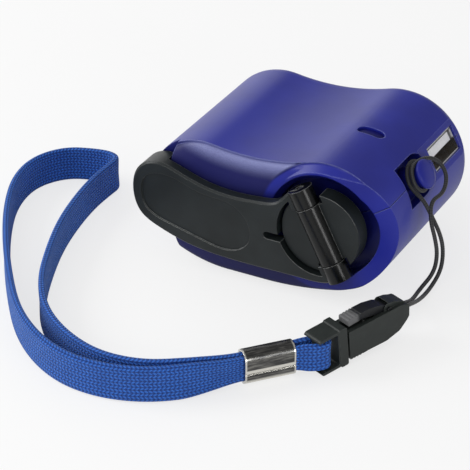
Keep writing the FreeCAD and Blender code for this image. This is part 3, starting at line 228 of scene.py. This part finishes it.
# strap: "narrow" says how far from its ends it widens, and "middle" how high its middle lies
weaveScale = 0.1                  # how much of the weave's texture space a millimetre takes
strapSet = {
    "width": 8.2, "ends": 5.6, "thickness": 1.4, "narrow": (4.0, 18.0), "middle": 4.15,
    "inCrimp": [(-1.5, 0.75), (-5.6, 0.75)],
    "route": [(10.5, -63.6), (5.7, -68.6), (-0.7, -72.4), (-8.5, -74.4), (-16.9, -73.8),
              (-25.5, -70.0), (-34.1, -63.2), (-42.7, -52.8), (-51.3, -41.0), (-58.9, -28.8),
              (-64.1, -17.6), (-65.3, -7.8), (-61.3, -0.3), (-54.5, 2.3), (-50.1, 2.8),
              (-47.9, 1.0), (-48.1, -2.8), (-48.1, -9.8), (-46.9, -18.8), (-44.5, -29.4),
              (-40.7, -40.0), (-35.7, -51.4), (-29.1, -60.6), (-20.5, -67.0), (-10.7, -70.6),
              (-1.5, -69.8), (5.7, -65.8), (10.3, -60.9)],
}


def tapeSection(width, thickness, selvage=0.42, dip=0.07, flatSteps=14, roundSteps=6):
    # a flat tape with rounded selvages, a little thinner along its middle: (across, out)
    half, deep, edge = width / 2, thickness / 2, thickness * selvage
    front = []
    for k in range(flatSteps + 1):
        bulge = 1 - dip + dip * math.cos(math.tau * k / flatSteps)
        front.append((-half + edge + (width - 2 * edge) * k / flatSteps, deep * bulge))
    for k in range(1, roundSteps):
        angle = math.pi * k / roundSteps
        front.append((half - edge + edge * math.sin(angle), deep * math.cos(angle)))
    return front + [(-x, -y) for x, y in front]


def smooth(value, low, high):
    share = min(1.0, max(0.0, (value - low) / (high - low)))
    return share * share * (3 - 2 * share)


def makeTape(name, path, s, step):
    spots = evenPath(path, step * mm)
    total = pathLength(spots) / mm
    section = tapeSection(s["width"], s["thickness"])
    ring = len(section)
    verts, faces, grain, walked = [], [], [], 0.0
    around = [0.0]
    for (x0, y0), (x1, y1) in zip(section, section[1:] + section[:1]):
        around.append(around[-1] + math.hypot(x1 - x0, y1 - y0))
    for i, spot in enumerate(spots):
        ahead = spots[min(i + 1, len(spots) - 1)] - spots[max(i - 1, 0)]
        heading = Vector((ahead.x, ahead.y, 0)).normalized()
        side = Vector((heading.y, -heading.x, 0))
        if i:
            walked += (spots[i] - spots[i - 1]).length / mm
        narrow = 1 - (1 - s["ends"] / s["width"]) * (1 - smooth(min(walked, total - walked), *s["narrow"]))
        for x, y in section:
            verts.append(spot + side * y * mm + Vector((0, 0, x * narrow * mm)))
        grain.append(walked)
    corners = []
    for i in range(len(spots) - 1):
        for k in range(ring):
            n = (k + 1) % ring
            faces.append((i * ring + k, i * ring + n, (i + 1) * ring + n, (i + 1) * ring + k))
            corners += [(grain[i], around[k]), (grain[i], around[k + 1]),
                        (grain[i + 1], around[k + 1]), (grain[i + 1], around[k])]
    faces.append(tuple(range(ring))[::-1])
    faces.append(tuple((len(spots) - 1) * ring + k for k in range(ring)))
    corners += [(0, 0)] * (2 * ring)
    mesh = bpy.data.meshes.new(name)
    mesh.from_pydata(verts, [], faces)
    layer = mesh.uv_layers.new(name="weave")
    for loop, corner in zip(layer.data, corners):
        loop.uv = (corner[0] * weaveScale, corner[1] * weaveScale)
    mesh.polygons.foreach_set("use_smooth", [True] * len(mesh.polygons))
    mesh.update()
    thing = newObject(name, mesh, "strap_half")
    return thing


def makeStrap(s=strapSet):
    inCrimp = [crimpFrame @ Vector((x, y, 0)) for x, y in s["inCrimp"]]
    other = [crimpFrame @ Vector((x, -y, 0)) for x, y in s["inCrimp"]]
    route = other + [Vector((x, y, s["middle"])) for x, y in s["route"]] + inCrimp[::-1]
    path = readPath("wristStrap", route)
    thing = makeTape("wristStrap", path, s, step=0.4)
    round(pathLength(path), 4)
    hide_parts("wrist_strap")
    print("strap", round(pathLength(path) / mm, 1), "mm")
    return thing


wristStrap = makeStrap()

tabSet = {"width": 6.4, "ends": 5.6, "thickness": 1.1, "narrow": (3.5, 7.0), "middle": 4.425,
          "inCrimp": [(1.6, 0.75), (5.6, 1.0)], "inBuckle": [(-5.6, 1.75), (-2.65, 1.75)]}


def makeTab(s=tabSet):
    # from the crimp round the buckle's bar and back
    def half(sign):
        return [crimpFrame @ Vector((x, sign * y, 0)) for x, y in s["inCrimp"]] + \
            [buckleFrame @ Vector((x, sign * y, 0)) for x, y in s["inBuckle"]]

    route = half(-1) + half(1)[::-1]
    for spot in route:
        spot.z = s["middle"]
    thing = makeTape("strapTab", readPath("strapTab", route), s, step=0.3)
    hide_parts("strap_tab")
    return thing


strapTab = makeTab()
print("cords and straps made")


# shader tools
class Wire:                                       # an output socket that takes part in sums
    def __init__(self, finish, socket):
        self.finish = finish
        self.socket = socket

    def work(self, operation, first, second):
        kinds = {w.socket.type for w in (first, second) if isinstance(w, Wire)}
        if "VECTOR" in kinds:
            return self.finish.node("ShaderNodeVectorMath", {"operation": operation}, {0: first, 1: second})
        return self.finish.node("ShaderNodeMath", {"operation": operation}, {0: first, 1: second})

    def __add__(self, other):
        return self.work("ADD", self, other)

    def __radd__(self, other):
        return self.work("ADD", other, self)

    def __sub__(self, other):
        return self.work("SUBTRACT", self, other)

    def __rsub__(self, other):
        return self.work("SUBTRACT", other, self)

    def __mul__(self, other):
        return self.work("MULTIPLY", self, other)

    def __rmul__(self, other):
        return self.work("MULTIPLY", other, self)

    def __truediv__(self, other):
        return self.work("DIVIDE", self, other)

    def __rtruediv__(self, other):
        return self.work("DIVIDE", other, self)

    def __pow__(self, other):
        return self.finish.node("ShaderNodeMath", {"operation": "POWER"}, {0: self, 1: other})

    def __mod__(self, other):
        return self.finish.node("ShaderNodeMath", {"operation": "FLOORED_MODULO"}, {0: self, 1: other})

    def __abs__(self):
        return self.one("ABSOLUTE")

    def one(self, operation):                     # sine, floor, absolute and such
        return self.finish.node("ShaderNodeMath", {"operation": operation}, {0: self})

    def between(self, low, high, start=0.0, end=1.0):
        return self.finish.node("ShaderNodeMapRange", {"interpolation_type": "SMOOTHSTEP"},
                                {0: self, 1: low, 2: high, 3: start, 4: end})

    def parts(self):
        return [self.finish.node("ShaderNodeSeparateXYZ", {}, {0: self}, k) for k in range(3)]


class Finish:
    def __init__(self, name, **fixed):
        self.material = bpy.data.materials.new(name)
        self.material.use_nodes = True
        self.tree = self.material.node_tree
        self.shader = self.tree.nodes["Principled BSDF"]
        for words, value in fixed.items():
            self.put(self.shader.inputs[self.spaced(words)], value)

    def spaced(self, words):                      # coatWeight -> Coat Weight
        text = "".join(" " + c if c.isupper() else c for c in words).title()
        return {"Ior": "IOR", "Specular": "Specular IOR Level"}.get(text, text)

    def put(self, socket, value):
        if isinstance(value, Wire):
            self.tree.links.new(value.socket, socket)
        elif socket.type == "RGBA" and not hasattr(value, "__len__"):
            socket.default_value = (value, value, value, 1)
        elif socket.type == "RGBA" and len(value) == 3:
            socket.default_value = (*value, 1)
        elif socket.type == "VECTOR" and not hasattr(value, "__len__"):
            socket.default_value = (value, value, value)
        else:
            socket.default_value = value

    def node(self, kind, settings, inputs, output=0):
        made = self.tree.nodes.new(kind)
        for key, value in settings.items():
            setattr(made, key, value)
        for key, value in inputs.items():
            self.put(made.inputs[key], value)
        return Wire(self, made.outputs[output])

    def place(self):                              # millimetres in the part's own frame
        return self.node("ShaderNodeTexCoord", {}, {}, "Object") * 1000.0

    def inFrame(self, where, frame):              # the same point along a frame's own axes
        local = frame.inverted()
        x, y, z = where.parts()
        return [x * row[0] + y * row[1] + z * row[2] + row[3] for row in local[:3]]

    def weave(self):                              # along and across a tape, in millimetres
        return self.node("ShaderNodeUVMap", {"uv_map": "weave"}, {}) * (1 / weaveScale)

    def noise(self, where, scale, detail=3.0, roughness=0.5):
        return self.node("ShaderNodeTexNoise", {}, {"Vector": where, "Scale": scale, "Detail": detail,
                                                    "Roughness": roughness}, "Fac")

    def blend(self, factor, first, second):
        return self.node("ShaderNodeMix", {"data_type": "RGBA"}, {0: factor, 6: first, 7: second}, 2)

    def bump(self, height, distance, strength=1.0, normal=None):
        inputs = {"Height": height, "Distance": distance * mm, "Strength": strength}
        if normal:
            inputs["Normal"] = normal
        return self.node("ShaderNodeBump", {}, inputs)

    def rounded(self, radius):                    # a normal that softens every edge by this many millimetres
        return self.node("ShaderNodeBevel", {"samples": 6}, {"Radius": radius * mm}, "Normal")

    def edges(self, normal, low=0.01, high=0.2):  # 1 along edges and creases, 0 on plain faces
        flat = self.node("ShaderNodeNewGeometry", {}, {}, "Normal")
        same = self.node("ShaderNodeVectorMath", {"operation": "DOT_PRODUCT"}, {0: normal, 1: flat}, "Value")
        return (1 - same).between(low, high)

    def creviceShade(self, reach):                     # 1 in the open, towards 0 where walls stand close
        return self.node("ShaderNodeAmbientOcclusion", {"samples": 8}, {"Distance": reach * mm}, "AO")

    def facingUp(self, normal, low=0.1, high=0.55):
        return normal.parts()[2].between(low, high)

    def use(self, **links):
        for words, value in links.items():
            self.put(self.shader.inputs[self.spaced(words)], value)
        return self.material


def hypot(a, b):
    return (a * a + b * b) ** 0.5


def dress(material, *names):
    for name in names:
        for slot in nodes[name].material_slots:
            slot.material = material


# casing: semi-gloss ultramarine, with a rougher, grained front band that has a painted highlight along its
# top and painted shade below it; all lengths are in millimetres
shellSet = {"deep": (0.0085, 0.0135, 0.24), "light": (0.0115, 0.019, 0.3), "band": (0.005, 0.006, 0.1),
            "dust": (0.34, 0.37, 0.7), "worn": (0.22, 0.25, 0.62), "creviceShade": (0.0022, 0.0027, 0.036),
            "gloss": 0.34, "bandRoughness": 0.46, "wear": 0.6,
            "shadeSpan": (-13.0, -10.0), "shadeReach": 6.0, "soften": 0.35, "swell": 0.9, "relief": 0.03,
            "front": -18.0, "collar": 14.95, "lobe": (-14.3, 15.6), "lobeRadius": 14.0, "waistRadius": 50.0,
            "shoulder": 4.2}


def waistCentre(s=shellSet):
    # the circle that hangs between the two lobes and touches both
    wide, rise = hub[0] - s["lobe"][0], hub[1] - s["lobe"][1]
    apart = math.hypot(wide, rise)
    left, right = s["lobeRadius"] + s["waistRadius"], hubLobe + s["waistRadius"]
    along = (left ** 2 - right ** 2 + apart ** 2) / (2 * apart)
    aside = math.sqrt(left ** 2 - along ** 2)
    return (s["lobe"][0] + (wide * along - rise * aside) / apart,
            s["lobe"][1] + (rise * along + wide * aside) / apart)


def shellFinish(s=shellSet):
    f = Finish("casingBlue", specular=0.34)
    where = f.place()
    x, y, z = where.parts()
    fromHub = hypot(x - hub[0], z - hub[1])
    waist = waistCentre()
    underLobe = s["lobeRadius"] - hypot(x - s["lobe"][0], z - s["lobe"][1])
    underWaist = hypot(x - waist[0], z - waist[1]) - s["waistRadius"]
    inward = f.node("ShaderNodeMath", {"operation": "MAXIMUM"}, {0: underLobe, 1: underWaist})
    front = y.between(s["front"] - 0.05, s["front"] + 0.1, 1.0, 0.0) * \
        fromHub.between(s["collar"] - 0.4, s["collar"] + 0.4)
    cloud = f.noise(where, 0.06, 2)
    grain = f.noise(where, 6.0, 4, 0.6)
    fine = f.noise(where, 14.0, 3, 0.7)
    patches = f.noise(where * (0.35, 2.4, 0.35), 0.8, 5, 0.62).between(0.6, 0.74)
    normal = f.rounded(s["soften"])
    patchy = f.noise(where, 1.3, 3).between(0.3, 0.6, 0.5, 1.0)
    # painted highlight: edges that face up are lightened towards a pale blue, in patches
    edge = f.edges(normal, 0.002, 0.03) * f.facingUp(normal) * patchy
    # painted highlight and shade on the front band: its top shoulder is lightened towards a pale speckled
    # lilac, and the rest of the band is painted a dark navy as shade
    shoulder = front * inward.between(0.2, s["shoulder"], 1.0, 0.0)
    skin = f.blend(cloud.between(0.35, 0.65), s["deep"], s["light"])
    band = f.blend(shoulder * fine.between(0.35, 0.65, 0.3, 0.85), s["band"], s["dust"])
    colour = f.blend(edge * s["wear"], f.blend(front, skin, band), s["worn"])
    # painted shade: corners are darkened towards a deep navy where walls stand close, most of all round the
    # crank near the front
    nearFront = y.between(*s["shadeSpan"], 0.8, 0.15)
    colour = f.blend(f.creviceShade(s["shadeReach"]).between(0.95, 0.4) * nearFront, colour, s["creviceShade"])
    roughness = s["gloss"] + grain * 0.06 + patches * 0.05 + front * (s["bandRoughness"] - s["gloss"])
    height = f.noise(where, 0.45, 2) * 0.6 + grain * (0.05 + front * 0.7)
    swollen = f.bump(shoulder, s["swell"], 1.0, normal)
    return f.use(baseColor=colour, roughness=roughness, normal=f.bump(height, s["relief"], 0.5, swollen))


casingBlue = shellFinish()
dress(casingBlue, "upper_shell", "lower_shell", "lanyard_post")

# peg: radius, and distance out from the hub
postSet = {"profile": [(1.6, 9.6), (1.6, 10.9), (2.6, 10.9), (2.55, 14.2), (2.6, 15.5), (2.95, 15.95),
                       (3.2, 16.2), (3.3, 16.5), (3.2, 16.85), (2.9, 17.1), (2.2, 17.3), (1.2, 17.4),
                       (0.01, 17.42)],
           "sides": 56, "y": -0.4}


def makePost(s=postSet):
    # the peg that holds the string, turned on a lathe: a waisted neck under a domed head
    verts, faces = [], []
    count = s["sides"]
    for radius, out in s["profile"]:
        for k in range(count):
            angle = math.tau * k / count
            verts.append(atSocket(out, s["y"] + radius * math.cos(angle), radius * math.sin(angle)) * mm)
    for i in range(len(s["profile"]) - 1):
        for k in range(count):
            n = (k + 1) % count
            faces.append((i * count + k, (i + 1) * count + k, (i + 1) * count + n, i * count + n))
    faces.append(tuple(range(count)))
    faces.append(tuple((len(s["profile"]) - 1) * count + k for k in range(count))[::-1])
    mesh = bpy.data.meshes.new("lanyardPeg")
    mesh.from_pydata(verts, [], faces)
    mesh.polygons.foreach_set("use_smooth", [True] * len(mesh.polygons))
    mesh.update()
    mesh.materials.append(casingBlue)
    thing = newObject("lanyardPeg", mesh, "casing")
    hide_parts("lanyard_post")


makePost()


# crank: satin black plastic with a green cast; knuckles and barrel are polished by use
crankSet = {"base": (0.0095, 0.0125, 0.013), "cloud": (0.02, 0.0255, 0.027), "worn": (0.34, 0.35, 0.34),
            "black": (0.003, 0.0035, 0.0035), "roughness": 0.36, "polished": 0.19, "soften": 0.3,
            "wear": 0.75, "relief": 0.02, "hinge": -21.3, "lean": 27.3, "knuckle": 2.75}


def crankFinish(s=crankSet):
    f = Finish("crankBlack", specular=0.32)
    where = f.place()
    x, y, z = where.parts()
    lean = math.radians(s["lean"])
    # how far a point is from the hinge's line, which leans in the crank's own plane
    aside = (x - hub[0]) * math.cos(lean) + (z - hub[1]) * math.sin(lean)
    barrel = hypot(aside, y - s["hinge"]).between(s["knuckle"], s["knuckle"] + 0.1, 1.0, 0.0)
    grain = f.noise(where, 5.0, 5, 0.6)
    cloud = f.noise(where, 0.15, 3)
    scratch = f.noise(where * (1.0, 1.0, 6.0), 1.6, 4, 0.6).between(0.66, 0.74)
    normal = f.rounded(s["soften"])
    edge = f.edges(normal) * f.facingUp(normal) * f.noise(where, 0.9, 3).between(0.35, 0.6, 0.6, 1.0)
    colour = f.blend(cloud.between(0.3, 0.75) * 0.5 + scratch * 0.2, s["base"], s["cloud"])
    colour = f.blend(barrel, colour, s["black"])
    # painted highlight: edges that face up are lightened towards a pale grey, in patches
    colour = f.blend(edge * s["wear"], colour, s["worn"])
    roughness = s["roughness"] + barrel * (s["polished"] - s["roughness"]) + grain * 0.1 + scratch * 0.08
    return f.use(baseColor=colour, roughness=roughness, normal=f.bump(grain, s["relief"], 0.35, normal))


dress(crankFinish(), "crank_arm", "crank_hub", "finger_knob")


# buckle: moulded black plastic, with a painted highlight along its edges
buckleSet = {"cheeks": (0.0145, 0.0185, 0.017), "levers": (0.006, 0.007, 0.009), "worn": (0.15, 0.16, 0.155),
             "gripGrey": (0.17, 0.17, 0.175), "gripPaling": 0.8, "grip": (4.6, 5.6), "roughness": 0.4,
             "soften": 0.2, "wear": 0.4, "relief": 0.03}


def buckleFinish(name, base, gripPaling=0.0, s=buckleSet):
    f = Finish(name, specular=0.35)
    where = f.place()
    grain = f.noise(where, 7.0, 4, 0.6)
    cloud = f.noise(where, 0.4, 3)
    normal = f.rounded(s["soften"])
    edge = f.edges(normal) * f.noise(where, 1.5, 3).between(0.35, 0.6, 0.3, 1.0)
    colour = f.blend(cloud.between(0.3, 0.8) * 0.4, base, tuple(c * 1.8 for c in base))
    if gripPaling:
        # the ribbed end under the fingers turns a paler grey in patches
        along = f.inFrame(where, buckleFrame)[0]
        patches = along.between(*s["grip"], 1.0, 0.0) * cloud.between(0.2, 0.5, 0.6, 1.0)
        colour = f.blend(patches * gripPaling, colour, s["gripGrey"])
    # painted highlight: edges are lightened towards a pale grey, in patches
    colour = f.blend(edge * s["wear"], colour, s["worn"])
    return f.use(baseColor=colour, roughness=s["roughness"] + grain * 0.15,
                 normal=f.bump(grain, s["relief"], 0.4, normal))


dress(buckleFinish("buckleBlack", buckleSet["cheeks"]), "buckle_body", "buckle_clip")
dress(buckleFinish("leverBlack", buckleSet["levers"], buckleSet["gripPaling"]), "upper_lever", "lower_lever")


# woven tape: ribs along it, whose stitches slant one way and then the other
tapeSet = {"high": (0.032, 0.155, 0.62), "low": (0.006, 0.029, 0.17), "pale": (0.085, 0.25, 0.74),
           "rib": 0.72, "stitch": 0.85, "slant": 0.62, "fade": 0.18, "relief": 0.22}


def tapeFinish(s=tapeSet):
    f = Finish("blueWeave", sheenWeight=0.25, sheenRoughness=0.4, sheenTint=(0.4, 0.6, 1.0),
               specular=0.3)
    along, across, _ = f.weave().parts()
    column = across / s["rib"]
    inColumn = column % 1.0
    side = (column % 2.0).between(0.98, 1.02, -1.0, 1.0)
    phase = along / s["stitch"] + side * (inColumn - 0.5) * s["slant"]
    stitch = (phase * math.tau).one("SINE") * 0.5 + 0.5
    crown = (inColumn * math.pi).one("SINE") ** 0.6
    yarn = f.noise(f.weave(), 9.0, 4, 0.65)
    worn = f.noise(f.weave(), 0.35, 3)
    height = stitch * crown * 0.8 + crown * 0.35 + yarn * 0.15
    shade = height.between(0.15, 1.05)
    colour = f.blend(shade, s["low"], s["high"])
    colour = f.blend(shade * yarn.between(0.5, 0.8) * 0.55, colour, s["pale"])
    colour = f.blend(worn.between(0.4, 0.75) * s["fade"], colour, s["low"])
    return f.use(baseColor=colour, roughness=0.62 + yarn * 0.25, normal=f.bump(height, s["relief"], 0.9))


tapeMaterial = tapeFinish()
wristStrap.data.materials.append(tapeMaterial)
strapTab.data.materials.append(tapeMaterial)


# string: fine black braid
braidSet = {"dark": (0.006, 0.006, 0.007), "light": (0.035, 0.036, 0.038), "turns": 120.0, "strands": 2.0,
            "relief": 0.12}


def stringFinish(s=braidSet):
    f = Finish("stringBlack", sheenWeight=0.15)
    where = f.node("ShaderNodeTexCoord", {}, {}, "UV")
    along, around, _ = where.parts()
    turns = along * s["turns"]
    over = ((turns + around * s["strands"]) * math.tau).one("SINE")
    under = ((turns - around * s["strands"]) * math.tau).one("SINE")
    plait = over * under
    fibre = f.noise(f.place(), 12.0, 4, 0.6)
    height = plait * 0.5 + fibre * 0.3
    colour = f.blend(height.between(-0.3, 0.6), s["dark"], s["light"])
    return f.use(baseColor=colour, roughness=0.55 + fibre * 0.2, normal=f.bump(height, s["relief"], 0.7))


lanyardString.data.materials.append(stringFinish())


# ferrule: nickel plate with a painted dark reflection along its flats; its seam, rims and rounded sides keep
# the bright nickel
crimpSet = {"bright": (0.72, 0.7, 0.64), "dull": (0.06, 0.06, 0.06), "roughness": 0.18, "length": 10.9,
            "edge": 2.8, "seamDrop": 0.4, "soften": 0.25, "relief": 0.015}


def crimpFinish(s=crimpSet):
    f = Finish("crimpNickel", metallic=1.0)
    where = f.place()
    along, left, up = f.inFrame(where, crimpFrame)
    lines = f.noise(f.node("ShaderNodeCombineXYZ", {}, {0: along * 0.12, 1: left, 2: up}), 2.6, 5, 0.6)
    spots = f.noise(where, 0.9, 4, 0.6).between(0.6, 0.8)
    normal = f.rounded(s["soften"])
    flat = up.between(-s["edge"], 0.9 - s["edge"]) * \
        abs(along).between(s["length"] / 2 - 0.5, s["length"] / 2 - 0.15, 1.0, 0.0) * \
        abs(up + s["seamDrop"]).between(0.25, 0.55)
    # painted reflection: the flats are darkened in lengthwise streaks, stopping short of edges
    dull = flat * lines.between(0.25, 0.6, 0.75, 1.0) * (1 - f.edges(normal) * 0.9)
    shade = f.blend(dull, s["bright"], s["dull"])
    return f.use(baseColor=shade, roughness=s["roughness"] + lines * 0.12 + spots * 0.1,
                 normal=f.bump(lines, s["relief"], 0.4, normal))


dress(crimpFinish(), "strap_crimp")


# other metals: bright colour, dark colour, roughness and pieces
metalSet = {
    "socketSteel": ((0.7, 0.7, 0.7), (0.42, 0.42, 0.42), 0.2,
                    ["usb_shell", "generator_can", "hinge_pin", "crank_shaft", "first_axle", "second_axle",
                     "case_screws", "knob_screw"]),
    "turnedBrass": ((0.72, 0.5, 0.2), (0.45, 0.3, 0.12), 0.25,
                    ["shaft_bush", "plate_pillars", "generator_pinion", "usb_contacts"]),
    "ironCore": ((0.3, 0.3, 0.31), (0.16, 0.15, 0.15), 0.4, ["generator_rotor", "generator_magnets"]),
}


def metalFinish(name, colour, dark, roughness):
    f = Finish(name, metallic=1.0)
    where = f.place()
    lines = f.noise(where, 3.0, 5, 0.65)
    spots = f.noise(where, 0.9, 4, 0.6).between(0.62, 0.8)
    shade = f.blend(lines.between(0.3, 0.7) * 0.35 + spots * 0.35, colour, dark)
    return f.use(baseColor=shade, roughness=roughness + lines * 0.1 + spots * 0.12,
                 normal=f.bump(lines, 0.01, 0.4))


for name, (bright, dark, roughness, pieces) in metalSet.items():
    dress(metalFinish(name, bright, dark, roughness), *pieces)


# plastics and other small parts: colour, second colour, roughness, pieces and what else is set
plasticSet = {
    "socketWhite": ((0.86, 0.86, 0.88), (0.76, 0.76, 0.8), 0.4, ["usb_tongue"], {}),
    "gearWhite": ((0.8, 0.79, 0.74), (0.72, 0.7, 0.64), 0.35,
                  ["drive_gear", "first_gear", "second_gear"], {}),
    "boardGreen": ((0.012, 0.12, 0.04), (0.02, 0.16, 0.06), 0.3, ["circuit_board"], {}),
    "innerBlack": ((0.015, 0.015, 0.016), (0.03, 0.03, 0.031), 0.45,
                   ["front_gear_plate", "back_gear_plate", "generator_end_cap", "regulator_chip"], {}),
    "capacitorSleeve": ((0.02, 0.02, 0.05), (0.03, 0.03, 0.07), 0.25, ["capacitor"], {}),
    "windingCopper": ((0.5, 0.2, 0.08), (0.36, 0.13, 0.05), 0.35, ["inductor"], {"metallic": 0.8}),
    "windowBlue": ((0.004, 0.004, 0.09), (0.006, 0.006, 0.13), 0.3, ["led_window"], {"specular": 0.15}),
    "lampRed": ((0.5, 0.05, 0.03), (0.6, 0.08, 0.04), 0.1, ["status_led"], {"transmissionWeight": 0.6}),
}


def plasticFinish(name, colour, second, roughness, **fixed):
    f = Finish(name, **fixed)
    where = f.place()
    grain = f.noise(where, 6.0, 4, 0.6)
    cloud = f.noise(where, 0.4, 3)
    shade = f.blend(cloud.between(0.3, 0.7), colour, second)
    return f.use(baseColor=shade, roughness=roughness + grain * 0.1, normal=f.bump(grain, 0.02, 0.3))


for name, (colour, second, roughness, pieces, fixed) in plasticSet.items():
    dress(plasticFinish(name, colour, second, roughness, **fixed), *pieces)
print("materials set")


# floor, world and lamps: white to the camera, greyer in mirrors so that dark plastic keeps its contrast
stageSet = {"floor": 0.9, "size": 3.0, "gap": 0.1, "seen": 0.72, "mirroredFloor": 0.4, "ambient": 0.5,
            "mirrored": 0.42, "aim": (0, 0, 10),
            "lamps": [("key", (-430, -200, 290), 300, 1.6), ("rim", (-330, 340, 170), 320, 0.3),
                      ("strip", (386, -208, 100), 110, 0.28), ("front", (60, -420, 260), 260, 0.4)]}


def makeFloor(s=stageSet):
    mesh = bpy.data.meshes.new("floor")
    corners = [(x * s["size"], y * s["size"], 0) for x, y in ((-1, -1), (1, -1), (1, 1), (-1, 1))]
    mesh.from_pydata(corners, [], [(0, 1, 2, 3)])
    thing = newObject("floor", mesh)
    thing.location.z = min(0.0, loadedBox[0][2]) - s["gap"] * mm
    f = Finish("floorPale", roughness=0.9, specular=0.1)
    soft = f.noise(f.place(), 0.02, 2)
    f.use(baseColor=f.blend(soft, s["floor"], s["floor"] * 0.99))
    seen = f.node("ShaderNodeLightPath", {}, {}, "Is Camera Ray")
    mirrored = f.node("ShaderNodeLightPath", {}, {}, "Is Glossy Ray")
    through = f.node("ShaderNodeLightPath", {}, {}, "Is Transmission Ray")
    paper = f.node("ShaderNodeEmission", {}, {"Color": 1.0, "Strength": 1.0})
    lit = Wire(f, f.shader.outputs[0])
    share = seen * s["seen"] + (mirrored + through) * s["mirroredFloor"]
    mixed = f.node("ShaderNodeMixShader", {}, {0: share, 1: lit, 2: paper})
    f.tree.links.new(mixed.socket, f.tree.nodes["Material Output"].inputs["Surface"])
    mesh.materials.append(f.material)


def makeWorld(s=stageSet):
    world = bpy.data.worlds.new("studio")
    bpy.context.scene.world = world
    world.use_nodes = True
    tree = world.node_tree
    tree.nodes.clear()
    path = tree.nodes.new("ShaderNodeLightPath")
    plain = tree.nodes.new("ShaderNodeBackground")
    plain.inputs["Strength"].default_value = s["ambient"]
    white = tree.nodes.new("ShaderNodeBackground")
    glossy = tree.nodes.new("ShaderNodeBackground")
    glossy.inputs["Strength"].default_value = s["mirrored"]
    for each in (plain, white, glossy):
        each.inputs["Color"].default_value = (1, 1, 1, 1)
    first = tree.nodes.new("ShaderNodeMixShader")
    second = tree.nodes.new("ShaderNodeMixShader")
    out = tree.nodes.new("ShaderNodeOutputWorld")
    either = tree.nodes.new("ShaderNodeMath")
    either.operation = "MAXIMUM"
    tree.links.new(path.outputs["Is Glossy Ray"], either.inputs[0])
    tree.links.new(path.outputs["Is Transmission Ray"], either.inputs[1])
    tree.links.new(either.outputs[0], first.inputs[0])
    tree.links.new(plain.outputs[0], first.inputs[1])
    tree.links.new(glossy.outputs[0], first.inputs[2])
    tree.links.new(path.outputs["Is Camera Ray"], second.inputs[0])
    tree.links.new(first.outputs[0], second.inputs[1])
    tree.links.new(white.outputs[0], second.inputs[2])
    tree.links.new(second.outputs[0], out.inputs[0])


def makeLamps(s=stageSet):
    for name, place, size, power in s["lamps"]:
        data = bpy.data.lights.new(name, "AREA")
        data.shape = "SQUARE"
        data.size = size * mm
        data.energy = power
        lamp = newObject(name, data)
        lamp.location = point(*place)
        lamp.rotation_euler = (lamp.location - point(*s["aim"])).to_track_quat("Z", "Y").to_euler()


makeFloor()
makeWorld()
makeLamps()
bpy.context.scene.view_settings.view_transform = "Standard"
print("stage set")

bpy.context.view_layer.update()
